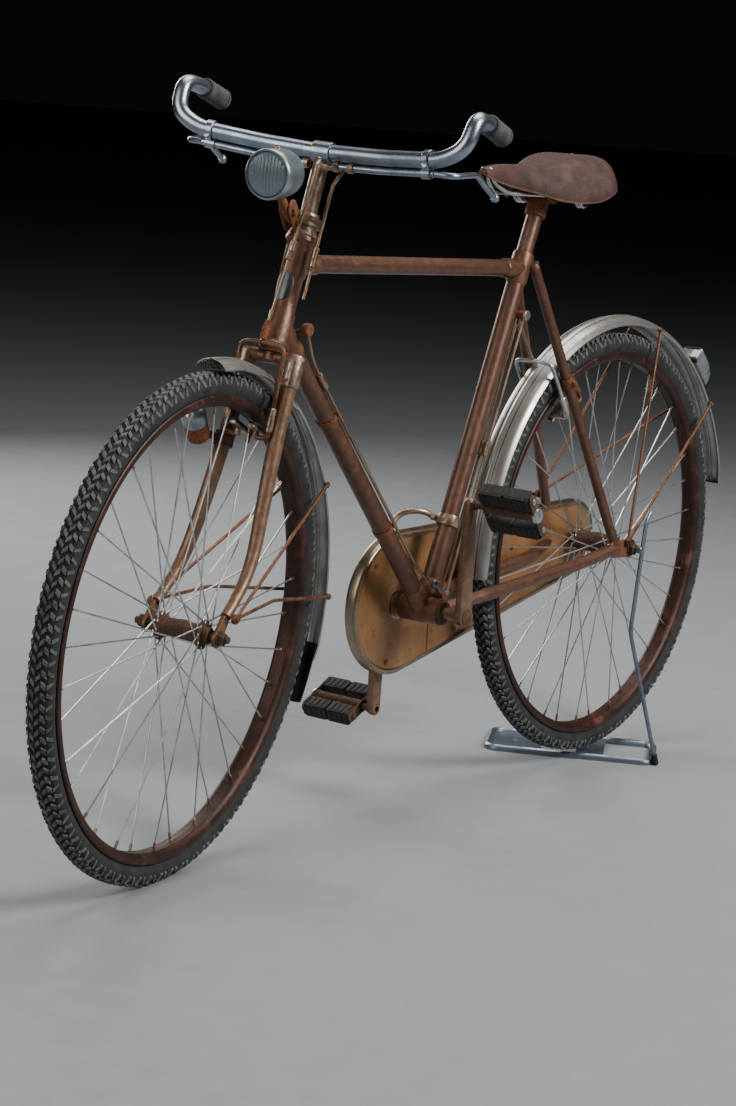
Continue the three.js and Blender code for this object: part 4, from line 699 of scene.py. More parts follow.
def make_paints(colours):
    """All the finishes, by the names that the pieces use."""
    paints.update(
        tube=aged_enamel("aged_enamel_brown", "#5b4033", "#6b4e40", "#734831", 0.56, 0.7),
        # The blade paint is the tube enamel made lighter: painted highlight on the fork blades and crank
        # arms
        blade=aged_enamel("aged_enamel_painted_highlight", "#755a49", "#8a6f5a", "#835538", 0.52, 0.68),
        lug=aged_enamel("aged_enamel_rusting", "#5e4232", "#725340", "#7f4f32", 0.48, 0.64),
        rust=bare_rust("bare_steel_orange_rust", "#714528", "#3a2418", "#965a32"),
        iron=bare_rust("bare_steel_dark_rust", "#4d3a30", "#271b16", "#6a4936"),
        worn=drawn_wire("worn_plated_steel", "#b8a998", "#917f6e", "#77492e", 0.5),
        fitting=drawn_wire("whitened_plating", "#d9d6cf", "#b4b0a8", "#86664c", 0.66),
        stay=drawn_wire("rusting_rod", "#775a4b", "#5b4236", "#70432b", 0.42),
        chrome=pitted_chrome("pitted_chrome", "#a7b1bd", "#7c8ba0", "#5d4a40"),
        wire=drawn_wire("galvanised_wire", "#d2d5d8", "#a4a8ac", "#7d6450", 0.62),
        rod=drawn_wire("rubbed_brake_rod", "#a8917d", "#8c745f", "#71472d", 0.54),
        guard=silver_paint("aluminium_paint", "#b9b8b6", "#949392", "#70503a"),
        # A dark copy of the guard paint for the strips beside each rib: painted dark reflection lines
        stripe=silver_paint("aluminium_paint_painted_reflection_line", "#4a463f", "#3a362f", "#4d3628"),
        case=faded_enamel("faded_beige_enamel", "#8f7150", "#9c7146", "#6b4228"),
        case_rim=pitted_chrome("rubbed_case_rim", "#ab977c", "#8c8377", "#6e4a30", 0.6),
        rim=rim_steel("rusted_rim_steel", "#462c25", "#6c412d", "#2a1c19"),
        # The tread blocks are paler than the casing between them: dust, with a painted highlight on the
        # blocks and painted shade in the grooves
        tread=old_rubber("tyre_casing_rubber_groove_shade", "#0f1011", "#1e2021"),
        block=old_rubber("tyre_block_rubber_dust_and_highlight", "#35393b", "#676b6d", 0.36, 0.62, 9.0),
        wall=old_rubber("tyre_wall_rubber", "#191b1d", "#34383a", 0.42, 0.68, 7.0),
        black=old_rubber("black_block_rubber", "#171615", "#3c3936", 0.5, 0.72),
        grip=old_rubber("grey_grip_rubber", "#343637", "#525555", 0.42, 0.62),
        hide=saddle_hide("saddle_cowhide", "#40140b", "#260c06", "#522418"),
        hide_edge=saddle_hide("saddle_cowhide_edge", "#6e4836", "#4c2c21", "#8f715e"),
        lamp=lamp_alloy("spun_lamp_alloy", "#a7b2ba", "#7f8990"),
        glass=pressed_glass("ribbed_lens_glass", "#66757e", "#737d82"),
        rear_glass=pressed_glass("rear_lamp_plastic", "#5b636b", "#7b8084"),
        zinc=zinc_plate("dulled_zinc_plate", "#8b98a7", "#657281"),
        badge=zinc_plate("blank_badge_alloy", "#59606b", "#464a50"),
        plaster=studio_plaster("studio_plaster", colours.floor),
    )


# Settings


class RoadsterSizes(PropertyGroup):
    """Sizes that a user would change."""

    tread_depth: FloatProperty(
        name="Tread depth",
        description="Height of the tread blocks above the casing",
        default=3 * MM,
        unit="LENGTH",
    )
    tread_blocks: IntProperty(
        name="Tread blocks", description="Blocks in each row round a tyre", default=150, min=40
    )
    spoke_gauge: FloatProperty(
        name="Spoke gauge", description="Diameter of a spoke", default=2.3 * MM, unit="LENGTH"
    )
    spoke_count: IntProperty(name="Spokes", description="Spokes in each wheel", default=36, min=12)
    rib_height: FloatProperty(
        name="Guard rib",
        description="Height of the mudguards' middle rib",
        default=1.4 * MM,
        unit="LENGTH",
    )


class RoadsterColours(PropertyGroup):
    """Colours that a user would change."""

    floor: FloatVectorProperty(
        name="Floor",
        description="Colour of the studio floor",
        subtype="COLOR",
        default=linear("#8b9097"),
        min=0,
        max=1,
    )
    light: FloatVectorProperty(
        name="Light",
        description="Colour of the studio lights",
        subtype="COLOR",
        default=linear("#fffaf2"),
        min=0,
        max=1,
    )


# Pieces


TREAD_ROWS = (
    # both edges of a block at its foot and at its head, each the depth under the top and the place across;
    # then the first block's turn, the share of the pitch that it fills, its slant and every other one's
    (((3.6, 0.5), (0.0, 0.9)), ((3.8, 7.2), (0.3, 6.8)), 0.0, 0.52, 0.4, 0.4),
    (((3.8, 8.0), (0.6, 8.4)), ((7.4, 12.8), (3.6, 13.2)), 0.3, 0.5, -0.3, -0.3),
    (((7.8, 13.4), (5.0, 14.8)), ((16.5, 17.0), (14.0, 18.3)), 0.3, 0.4, 0.32, -0.32),
)


def tyre(piece, wheel, settings, seed):
    """A casing with blocks: a zigzag in the middle, a row on each shoulder and chevrons down each side."""
    top = TREAD_RADIUS - settings.tread_depth / MM
    side = [
        # radius, place across
        (RIM_INNER + 7.5, 10.5),
        (RIM_EDGE + 1, 12.2),
        (RIM_EDGE + 5, 15.2),
        (RIM_EDGE + 12, 17.2),
        (RIM_EDGE + 18, 17.0),
        (TREAD_RADIUS - 8.5, 15.0),
        (TREAD_RADIUS - 5.6, 12.2),
        (TREAD_RADIUS - 3.6, 8.4),
        (top, 4),
    ]
    profile = side + [(r, -y) for r, y in reversed(side)]
    count = len(profile)
    # The crown between the blocks takes the darker casing rubber, painted shade in the grooves
    numbers = [0 if 4 < i < count - 6 else 1 for i in range(count)]
    piece.turned(wheel.origin, wheel.left, profile, 180, numbers, closed=True)
    blocks = settings.tread_blocks
    rng = random.Random(seed)
    for first, second, phase, share, slant, other in TREAD_ROWS:
        for s in (1, -1):
            for i in range(blocks):
                turn = 2 * math.pi * (i + phase + (0.5 if s < 0 else 0)) / blocks
                half_turn = math.pi * share / blocks * rng.uniform(0.9, 1.06)
                lean = (slant if i % 2 else other) * math.pi / blocks
                wear = rng.uniform(0, 0.35)
                rings = []
                for level, shrink in ((0, 1.0), (1, 0.84)):
                    corners = []
                    for way, (depth, across), shift in (
                        (-1, first[level], -lean), (1, first[level], -lean), (1, second[level], lean),
                        (-1, second[level], lean),
                    ):
                        angle = turn + way * half_turn * shrink + shift
                        corners.append(
                            wheel.around(
                                TREAD_RADIUS - depth - wear * level, math.degrees(angle), s * across
                            )
                        )
                    rings.append(corners)
                piece.skin(rings, 2)


def rim(piece, wheel):
    """A Westwood rim: a rolled tube at each edge and a hollow middle."""
    side = [
        (RIM_INNER, 5.5), (RIM_INNER + 0.8, 9), (RIM_INNER + 2.8, 12.4), (RIM_INNER + 5.6, 14.6),
        (RIM_EDGE - 5, RIM_HALF), (RIM_EDGE - 1.6, RIM_HALF - 0.3), (RIM_EDGE, RIM_HALF - 1.8),
        (RIM_EDGE - 1.2, RIM_HALF - 3.2), (RIM_INNER + 7, RIM_HALF - 4.4),
    ]
    profile = side + [(r, -y) for r, y in reversed(side)]
    piece.turned(wheel.origin, wheel.left, profile, 160, 0, closed=True)
    for s in (1, -1):
        piece.turned(
            wheel.origin,
            wheel.left,
            [
                (RIM_INNER - 0.2, s * 5.4), (RIM_INNER - 0.2, s * 8), (RIM_INNER + 1.4, s * 8),
                (RIM_INNER + 1.4, s * 5.4),
            ],
            120,
            0,
            closed=True,
        )


def spokes(piece, wheel, settings):
    """Crossed round spokes with nipples; each leaves its flange by a bend."""
    count = settings.spoke_count
    radius = settings.spoke_gauge / MM / 2
    for i in range(count):
        side = 1 if i % 2 else -1
        lead = 1 if (i // 2) % 2 else -1
        end = 360 * (i + 0.5) / count
        begin = end + math.degrees(lead * 0.95)
        flange = side * (HUB_HALF + 1.6 * lead)
        foot = wheel.around(HUB_FLANGE - 3, begin, flange)
        tip = wheel.around(RIM_INNER - 1, end, side * 3)
        piece.tube([foot, tip], radius, 8, paint=0)
        piece.cylinder(
            wheel.around(HUB_FLANGE - 3, begin, flange - 2 * lead * side),
            wheel.around(HUB_FLANGE - 3, begin, flange + 1.4 * lead * side),
            1.9,
            8,
            paint=0,
        )
        way = (foot - tip).normalized()
        piece.cylinder(tip, tip + way * 11 * MM, 2.0, 8, paint=1)


def hub(piece, wheel, barrel):
    """A steel hub shell with oiler band and dust caps."""
    half = HUB_HALF + 2.5
    end = half + 9
    profile = [
        (5.6, -end), (10.4, -end), (11.4, -end + 1), (12, -half), (HUB_FLANGE - 1, -half),
        (HUB_FLANGE, -half + 1), (HUB_FLANGE, -half + 3.4), (HUB_FLANGE - 1.4, -half + 4.4),
        (barrel + 1.6, -half + 7), (barrel, -half + 12),
    ]
    profile += [(r, -a) for r, a in reversed(profile)]
    piece.turned(wheel.origin, wheel.left, profile, 40, 2, closed=True)
    piece.turned(wheel.origin, wheel.left, band(barrel, barrel + 1.1, 5), 40, 2, closed=True)


def valve(piece, wheel):
    """The valve's stem with its nut on the rim."""
    end, foot = wheel.around(RIM_INNER - 30, VALVE_DEGREES), wheel.around(RIM_INNER, VALVE_DEGREES)
    piece.cylinder(end, foot, 3.0, 12, paint=2)
    piece.cylinder(foot + (end - foot).normalized() * 3 * MM, foot, 5.0, 6, paint=1)


def road_wheel(name, body, wheel, barrel, seed, settings):
    """One wheel: its tyre, its rim and its hub with the spokes."""
    piece = Piece(f"tyre_{name}")
    tyre(piece, wheel, settings, seed)
    piece.done(body, "tread wall block", [f"{name}_tyre"])
    piece = Piece(f"rim_{name}")
    rim(piece, wheel)
    piece.done(body, "rim", [f"{name}_rim"])
    piece = Piece(f"wheel_centre_{name}")
    spokes(piece, wheel, settings)
    hub(piece, wheel, barrel)
    valve(piece, wheel)
    piece.done(body, "wire rod iron", [f"{name}_hub_and_spokes"])


class ROADSTER_OT_wheels(Operator):
    """Adds both wheels: tyres, rims, hubs and spokes"""

    bl_idname = "roadster.wheels"
    bl_label = "Wheels"

    def execute(self, context):
        settings = context.scene.roadster_sizes
        road_wheel("front", "front_wheel", FRONT, FRONT_BARREL, 1, settings)
        road_wheel("rear", "rear_wheel", REAR, REAR_BARREL, 2, settings)
        return {"FINISHED"}


def lug_sleeve(piece, start, way, length, radius, paint=0):
    """A lug's socket: a sleeve that thins to its mouth."""
    profile = [
        (radius, 0), (radius, length - 8), (radius - 0.3, length - 4), (radius - LUG_WALL + 0.5, length)
    ]
    piece.turned(start, way, profile, 32, paint)


def head_tube():
    """The head tube with its cups and the lugs of the top and down tubes."""
    piece = Piece("head_tube_lugged")
    r = HEAD_TUBE_RADIUS
    wall = r + LUG_WALL
    profile = [
        (r - 3, HEAD_LOW), (r + 5, HEAD_LOW), (r + 6, HEAD_LOW + 1.5), (r + 6, HEAD_LOW + 6),
        (r + 3.4, HEAD_LOW + 9), (wall, DOWN_TUBE_ON_HEAD - 20), (wall, DOWN_TUBE_ON_HEAD + 17),
        (r, DOWN_TUBE_ON_HEAD + 21), (r, TOP_TUBE_ON_HEAD - 20), (wall, TOP_TUBE_ON_HEAD - 16),
        (wall, TOP_TUBE_ON_HEAD + 20), (r + 3.4, HEAD_HIGH - 9), (r + 6, HEAD_HIGH - 6),
        (r + 6, HEAD_HIGH - 1.5), (r + 5, HEAD_HIGH), (r - 3, HEAD_HIGH),
    ]
    piece.turned(HEAD.origin, HEAD.up, profile, 40, 0, closed=True)
    lug_sleeve(piece, HEAD_FOR_TOP, TOP_WAY, 48, TOP_TUBE_RADIUS + LUG_WALL, 1)
    lug_sleeve(piece, HEAD_FOR_DOWN, DOWN_WAY, 54, MAIN_TUBE_RADIUS + LUG_WALL, 1)
    piece.done("frame", "tube lug", ["head_tube"])


def head_badge():
    """A blank plate bent round the head tube, held by two rivets."""
    piece = Piece("head_badge_blank")
    rings = []
    for depth, share in ((0.2, 1), (1.2, 1), (1.6, 0.93), (1.6, 0.6), (1.6, 0.3), (1.6, 0.02)):
        ring = []
        for k in range(32):
            t = 2 * math.pi * k / 32
            turn = BADGE_TURN * share * math.cos(t)
            reach = HEAD_TUBE_RADIUS + depth
            place = HEAD.at(
                reach * math.cos(turn),
                reach * math.sin(turn),
                BADGE_UP + BADGE_HALF * share * math.sin(t),
            )
            ring.append(place)
        rings.append(ring)
    piece.skin(rings, 0)
    for end in (-1, 1):
        rivet = HEAD.at(HEAD_TUBE_RADIUS + 1.4, 0, BADGE_UP + end * BADGE_HALF * 0.78)
        piece.turned(rivet, HEAD.ahead, [(1.8, 0), (1.5, 0.6), (0.1, 1)], 12, 0)
    piece.done("frame", "badge")


def top_tube():
    """The top tube."""
    piece = Piece("top_tube_painted")
    piece.tube([HEAD_FOR_TOP + TOP_WAY * 15 * MM, SEAT_FOR_TOP - TOP_WAY * 12 * MM], TOP_TUBE_RADIUS, 32)
    piece.done("frame", "tube", ["top_tube"])


def down_tube():
    """The down tube."""
    piece = Piece("down_tube_painted")
    piece.tube(
        [HEAD_FOR_DOWN + DOWN_WAY * 15 * MM, CRANK.origin - DOWN_WAY * 19 * MM], MAIN_TUBE_RADIUS, 32
    )
    piece.done("frame", "tube", ["down_tube"])


def seat_tube():
    """The seat tube with its cluster lug and binder bolt."""
    piece = Piece("seat_tube_lugged")
    piece.tube(SEAT.line((0, 0, BB_RADIUS), (0, 0, SEAT_TUBE_LENGTH - 2)), MAIN_TUBE_RADIUS, 32)
    cluster = [
        (MAIN_TUBE_RADIUS + 0.4, TOP_TUBE_ON_SEAT - 26),
        (MAIN_TUBE_RADIUS + 2, TOP_TUBE_ON_SEAT - 20),
        (MAIN_TUBE_RADIUS + 2.2, SEAT_TUBE_LENGTH - 4),
        (MAIN_TUBE_RADIUS + 1.2, SEAT_TUBE_LENGTH),
        (12.8, SEAT_TUBE_LENGTH),
    ]
    piece.turned(SEAT.origin, SEAT.up, cluster, 36, 1)
    lug_sleeve(piece, SEAT_FOR_TOP, -TOP_WAY, 48, TOP_TUBE_RADIUS + LUG_WALL, 1)
    bolt = SEAT.at(-MAIN_TUBE_RADIUS - 6, 0, SEAT_TUBE_LENGTH - 9)
    piece.cylinder(bolt - SIDE * 11 * MM, bolt + SIDE * 11 * MM, 4.6, 20, 2)
    piece.nut(bolt + SIDE * 11 * MM, SIDE, 12, 5, 2)
    piece.done("frame", "tube lug iron", ["seat_tube"])


def bottom_bracket():
    """The bottom bracket shell with its sockets and lock ring."""
    piece = Piece("bottom_bracket_lugged")
    shell = [
        (9, -BB_HALF), (BB_RADIUS - 1, -BB_HALF), (BB_RADIUS, -BB_HALF + 1), (BB_RADIUS, BB_HALF - 1),
        (BB_RADIUS - 1, BB_HALF), (9, BB_HALF),
    ]
    piece.turned(CRANK.origin, SIDE, shell, 40, 1, closed=True)
    lug_sleeve(piece, CRANK.origin, -DOWN_WAY, BB_RADIUS + 28, MAIN_TUBE_RADIUS + LUG_WALL, 1)
    lug_sleeve(piece, CRANK.origin, SEAT_WAY, BB_RADIUS + 26, MAIN_TUBE_RADIUS + LUG_WALL, 1)
    ring = [
        (9.2, BB_HALF - 1), (18.5, BB_HALF - 1), (18.5, BB_HALF + 3), (16, BB_HALF + 5),
        (9.2, BB_HALF + 5),
    ]
    piece.turned(CRANK.origin, SIDE, ring, 18, 2, closed=True)
    piece.done("frame", "tube lug iron", ["bottom_bracket_shell"])


def seat_post():
    """The seat post."""
    piece = Piece("seat_post_tube")
    piece.cylinder(SEAT.at(up=SEAT_TUBE_LENGTH - 55), SEAT.at(up=SEAT_POST_TOP), 12.6, 28, 0)
    piece.done("frame", "tube", ["seat_post"])


class ROADSTER_OT_frame_tubes(Operator):
    """Adds the frame's tubes in their lugs"""

    bl_idname = "roadster.frame_tubes"
    bl_label = "Frame tubes"

    def execute(self, context):
        head_tube()
        head_badge()
        top_tube()
        down_tube()
        seat_tube()
        bottom_bracket()
        seat_post()
        return {"FINISHED"}


def seat_stay_line(s):
    """The upper and lower end of a seat stay."""
    return SEAT.at(-8, s * 18, SEAT_TUBE_LENGTH - 14), BIKE.at(46, s * (DROPOUT_Y + 2), WHEEL_Z + 12)


def chain_stay(side, s):
    """A chain stay, bowed out past the tyre, with its dropout plate."""
    drop = link_outline((48, WHEEL_Z + 4), 14.6, (-4, WHEEL_Z), 14.6, 14)
    piece = Piece(f"chain_stay_tube_{side}")
    bow, far = (38, 52) if s > 0 else (33, 35)
    line = BIKE.line(
        (BB_X - 4, s * 24, BB_Z + 2),
        (BB_X - 100, s * bow, BB_Z + 13),
        (130, s * far, BB_Z + 36),
        (52, s * (DROPOUT_Y + 1), WHEEL_Z + 2),
        (40, s * (DROPOUT_Y + 2), WHEEL_Z + 3),
    )
    piece.tube(line, 10, 24, bend=28)
    low, high = sorted((s * DROPOUT_Y, s * (DROPOUT_Y + DROPOUT_THICK)))
    piece.plate(drop, BIKE, low, high, 1.2, 1)
    piece.done("frame", "tube lug", [f"chain_stay_{side}"])


def seat_stay(side, s):
    """A seat stay, tapered at both ends."""
    piece = Piece(f"seat_stay_tube_{side}")
    top, low = seat_stay_line(s)
    way = (low - top).normalized()
    piece.tube([top, top + way * 12 * MM, low - way * 60 * MM, low], (7.4, 8.2, 8.2, 7.6), 24)
    piece.turned(top - way * 3 * MM, way, [(2, 0), (6, 1), (7.6, 4), (8.2, 8)], 24, 1)
    piece.done("frame", "tube lug", [f"seat_stay_{side}"])


def axle(piece, wheel, half, seat, washer, washer_radius, nut, nut_thick):
    """An axle with a washer and a nut outside each end that holds it; seat is where the washers start."""
    piece.cylinder(wheel.at(left=-half), wheel.at(left=half), AXLE_RADIUS, 20, 0)
    for _, s in BOTH:
        start = wheel.at(left=s * seat)
        end = start + wheel.left * s * washer * MM
        piece.cylinder(start, end, washer_radius, 28, 0, 0.4)
        piece.nut(end, wheel.left * s, nut, nut_thick, 0)


def rear_axle():
    """The rear axle with its washers and nuts."""
    piece = Piece("rear_axle_nuts")
    axle(piece, REAR, REAR_AXLE_HALF, DROPOUT_Y + DROPOUT_THICK + 0.3, 2, 11.4, 19, 8)
    piece.done("frame", "iron", ["rear_axle"])


class ROADSTER_OT_stays(Operator):
    """Adds the chain stays, dropouts, seat stays and rear axle"""

    bl_idname = "roadster.stays"
    bl_label = "Stays and rear axle"

    def execute(self, context):
        for side, s in BOTH:
            chain_stay(side, s)
            seat_stay(side, s)
        rear_axle()
        return {"FINISHED"}


def fork_crown():
    """The crown with its bridge and sockets, the steerer and the lower race."""
    piece = Piece("fork_crown_cast")
    piece.cylinder(STEER.at(up=CROWN_LOW + 6), STEER.at(up=HEAD_HIGH + 22), 12.5, 28, 0)
    race = [
        (14, CROWN_HIGH - 3), (20, CROWN_HIGH - 2), (20.5, CROWN_HIGH + 1), (18, HEAD_LOW - 0.4),
        (12, HEAD_LOW - 0.4),
    ]
    piece.turned(STEER.origin, STEER.up, race, 36, 2)
    bridge = STEER.line(
        (0, -BLADE_Y, CROWN_LOW + 12), (0, -18, CROWN_LOW + 12.5), (0, 18, CROWN_LOW + 12.5),
        (0, BLADE_Y, CROWN_LOW + 12),
    )
    piece.tube(bridge, 9.5, 24, bend=10, paint=1)
    for _, s in BOTH:
        socket = [
            (11.4, CROWN_LOW - 26), (12.8, CROWN_LOW - 25), (13.2, CROWN_LOW - 20),
            (13.2, CROWN_HIGH - 5), (11.5, CROWN_HIGH - 1), (7, CROWN_HIGH + 0.5),
        ]
        piece.turned(STEER.at(left=s * BLADE_Y), STEER.up, socket, 32, 3)
    piece.done("steering", "tube lug iron worn", ["fork_crown"])


def fork_blades():
    """Both blades, raked at their feet, with their ends."""
    rows = (
        # up, ahead, left, radius
        (CROWN_HIGH - 6, 0, BLADE_Y, 11),
        (CROWN_LOW - 30, 0, BLADE_Y, 11),
        (290, 0, BLADE_Y + 1, 11),
        (190, 0, 44, 10.2),
        (128, 2, 49, 9.3),
        (88, 11, 51.5, 8.6),
        (55, 28, 53, 8),
        (30, 44, FORK_END_Y, 7.5),
    )
    fine = smooth_rows(rows, 5)
    for side, s in BOTH:
        piece = Piece(f"fork_blade_tapered_{side}")
        piece.tube([STEER.at(a, s * l, u) for u, a, l, _ in fine], [r for *_, r in fine], 28, paint=0)
        end = link_outline((45, 24), 8.6, (FORK_RAKE, -2), 11.6, 12)
        piece.plate(end, STEER, *sorted((s * (FORK_END_Y - 3), s * (FORK_END_Y + 3))), 1.0, 1)
        # The blades take the tube enamel made lighter, a painted highlight
        piece.done("steering", "blade lug", [f"fork_blade_{side}"])


def front_axle():
    """The front axle with its washers and nuts."""
    piece = Piece("front_axle_nuts")
    axle(piece, FRONT, FRONT_AXLE_HALF, FORK_END_Y + 3.3, 1.6, 10.4, 18, 7.4)
    piece.done("steering", "iron", ["front_axle"])


class ROADSTER_OT_fork(Operator):
    """Adds the fork crown, blades, ends and front axle"""

    bl_idname = "roadster.fork"
    bl_label = "Fork and front axle"

    def execute(self, context):
        fork_crown()
        fork_blades()
        front_axle()
        return {"FINISHED"}


def guard(piece, wheel, shift, radius, start, end, steps, rib, narrow=None):
    """A pressed guard: rolled edges, a raised middle rib and a painted dark reflection line on each side of
    it.
    """
    foot = rib / GUARD_DEPTH
    half_shape = [
        (1, 0.93), (0.985, 1.0), (0.95, 0.9), (0.88, 0.68), (0.76, 0.45), (0.6, 0.28), (0.42, 0.17),
        (0.32, foot + 0.035), (0.26, foot + 0.02), (0.14, foot), (0.1, 0.03), (0.0, 0.0),
    ]
    outer = [(-w, d) for w, d in half_shape] + [(w, d) for w, d in reversed(half_shape[:-1])]
    count = len(outer)
    numbers = [0] * (2 * count)
    # These two strips beside the rib carry the painted dark reflection line
    for i in (7, count - 9):
        numbers[i] = 1
    rings = []
    for i in range(steps + 1):
        degrees = start + (end - start) * i / steps
        half = GUARD_HALF - (4 if narrow and abs(degrees - narrow) < 14 else 0)
        ease = min(i, steps - i, 3) / 3
        half *= 0.9 + 0.1 * ease
        ring = [wheel.around(radius - d * GUARD_DEPTH, degrees, w * half, *shift) for w, d in outer]
        ring += [
            wheel.around(radius - d * GUARD_DEPTH - GUARD_WALL, degrees, w * (half - 1), *shift)
            for w, d in reversed(outer)
        ]
        rings.append(ring)
    piece.skin(rings, numbers)


def guard_edge(wheel, shift, radius, degrees, s):
    """Where a stay meets the edge of its guard."""
    return wheel.around(radius - GUARD_DEPTH + 1, degrees, s * (GUARD_HALF + 2.6), *shift)


def stay_end(piece, place, s):
    """The flattened eye of a guard stay with its screw and nut."""
    piece.cylinder(place - SIDE * s * 1.6 * MM, place + SIDE * s * 1.6 * MM, 4.6, 18, 0, 0.4)
    piece.cylinder(place + SIDE * s * 1.4 * MM, place + SIDE * s * 3.4 * MM, 3.0, 14, 0, 0.8)


def stay_eye(piece, place, left, s):
    """The eye where the two stays of one side meet, with its nut."""
    piece.cylinder(place - left * 3 * MM, place + left * 3 * MM, 6.8, 20, 0)
    piece.nut(place + left * s * 2 * MM, left * s, 10, 3, 0)


def guards(rib):
    """Both guards."""
    piece = Piece("mudguard_rear_pressed")
    guard(piece, REAR, REAR_SHIFT, REAR_GUARD_RADIUS, *REAR_GUARD_DEGREES, 120, rib)
    piece.done("frame", "guard stripe", ["rear_mudguard"], 50)
    piece = Piece("mudguard_front_pressed")
    guard(piece, FRONT, FRONT_SHIFT, FRONT_GUARD_RADIUS, *FRONT_GUARD_DEGREES, 90, rib, CROWN_DEGREES)
    piece.done("steering", "guard stripe", ["front_mudguard"], 50)


def mud_flap():
    """The rubber flap under the front guard."""
    piece = Piece("mud_flap_rubber")
    rings = []
    for degrees, half, out in smooth_rows(((192, 22, 0), (198, 21, 0), (202, 20, 1), (206, 18, 4)), 5):
        radius = FRONT_GUARD_RADIUS - 2.2 + out
        shares = [k / 6 for k in range(-6, 7)]
        ring = [FRONT.around(radius - 11 * w * w, degrees, w * half, *FRONT_SHIFT) for w in shares]
        ring += [
            FRONT.around(radius - 3 - 11 * w * w, degrees, w * half, *FRONT_SHIFT)
            for w in reversed(shares)
        ]
        rings.append(ring)
    piece.skin(rings, 0)
    piece.done("steering", "black", ["mud_flap"], 50)


def front_guard_stays(side, s):
    """The two stays of the front guard on one side, from the eye on the fork end."""
    piece = Piece(f"guard_stay_front_{side}")
    eye = STEER.at(36, s * (FORK_END_Y + 11), 30)
    stay_eye(piece, eye, FRONT.left, s)
    high, low = (
        guard_edge(FRONT, FRONT_SHIFT, FRONT_GUARD_RADIUS, degrees, s) for degrees in FRONT_STAY_DEGREES
    )
    piece.tube([eye, high], GUARD_STAY_RADIUS, 12)
    piece.tube([eye, eye.lerp(low, 0.38) + FRONT.up * 14 * MM, low], GUARD_STAY_RADIUS, 12, bend=14)
    for end in (high, low):
        stay_end(piece, end, s)
    piece.done("steering", "stay", [f"front_stays_{side}"])


def rear_guard_stays(side, s):
    """The two stays of the rear guard on one side."""
    piece = Piece(f"guard_stay_rear_{side}")
    top, low = seat_stay_line(s)
    if s > 0:
        eye = BIKE.at(14, DROPOUT_Y + DROPOUT_THICK + 3.3, WHEEL_Z + 13)
    else:
        eye = low.lerp(top, 0.15) - SIDE * (8.2 + 3.5) * MM
    stay_eye(piece, eye, SIDE, s)
    for degrees in REAR_STAY_DEGREES:
        end = guard_edge(REAR, REAR_SHIFT, REAR_GUARD_RADIUS, degrees, s)
        piece.tube([eye, end], GUARD_STAY_RADIUS, 12)
        stay_end(piece, end, s)
    piece.done("frame", "stay", [f"rear_stays_{side}"])


class ROADSTER_OT_mudguards(Operator):
    """Adds both mudguards with their stays and the mud flap"""

    bl_idname = "roadster.mudguards"
    bl_label = "Mudguards"

    def execute(self, context):
        guards(context.scene.roadster_sizes.rib_height / MM)
        mud_flap()
        for side, s in BOTH:
            front_guard_stays(side, s)
            rear_guard_stays(side, s)
        return {"FINISHED"}


def chain_case():
    """The closed case: two pressed halves with a rolled rim, dished round the cranks."""
    outline = link_outline((BB_X, BB_Z), CASE_FRONT_RADIUS, (-5, WHEEL_Z), CASE_REAR_RADIUS, 48)
    inner, outer = CASE_INNER_Y, CASE_INNER_Y - CASE_THICK
    piece = Piece("chain_case_pressed")
    section = (
        # inset from the edge, depth under the face
        (13, CASE_DISH), (9.5, CASE_DISH), (8.4, 1.6), (7.2, 0.2), (4.4, 0), (2, 1.2), (0.4, 3.6), (0, 6.5),
    )
    levels = [(inset, inner - depth) for inset, depth in section]
    levels += [(inset, outer + depth) for inset, depth in reversed(section)]
    rings = [[BIKE.at(x, y, z) for x, z in outline(inset)] for inset, y in levels]
    piece.skin(rings[:2], 0, caps=False)
    piece.skin(rings[1:15], 1, caps=False)
    piece.skin(rings[14:], 0, caps=False)
    for ring in (rings[0], rings[-1]):
        piece.face([piece.mesh.verts.new(p) for p in ring], 0)
    bmesh.ops.remove_doubles(piece.mesh, verts=piece.mesh.verts, dist=0.01 * MM)
    disc = [
        (0.1, 2.2), (50, 2.2), (53, 1.6), (55, 0.8), (78, 0.8), (81, 0.2), (83, 0), (83, -2), (0.1, -2),
    ]
    for s, y in ((1, inner - CASE_DISH), (-1, outer + CASE_DISH)):
        piece.turned(BIKE.at(BB_X, y, BB_Z), SIDE * s, disc, 72, 0)
        boss = [(18, 1), (23, 1), (24.5, 1.6), (24, 2.4), (21, 2.4), (18, 2)]
        piece.turned(BIKE.at(BB_X, y, BB_Z), SIDE * s, boss, 40, 1, closed=True)
        for x, z in (
            (BB_X - 98, BB_Z - 6), (BB_X + 60, BB_Z + 66), (BB_X + 20, BB_Z - 88), (180, BB_Z + 52),
            (180, BB_Z - 22),
        ):
            foot = BIKE.at(x, y, z)
            piece.turned(foot, SIDE * s, [(4.6, -1), (4.6, 0.8), (3.4, 2), (0.1, 2.5)], 18, 2)
        piece.block(
            Bearings(BIKE.at(BB_X - 86, y, BB_Z), FORWARD, SIDE * s, UPWARD),
            (-1.2, -0.8, -88),
            (1.2, 0.9, 88),
            0.3,
            2,
        )
    piece.done("frame", "case case_rim rust", ["chain_case"], 40)


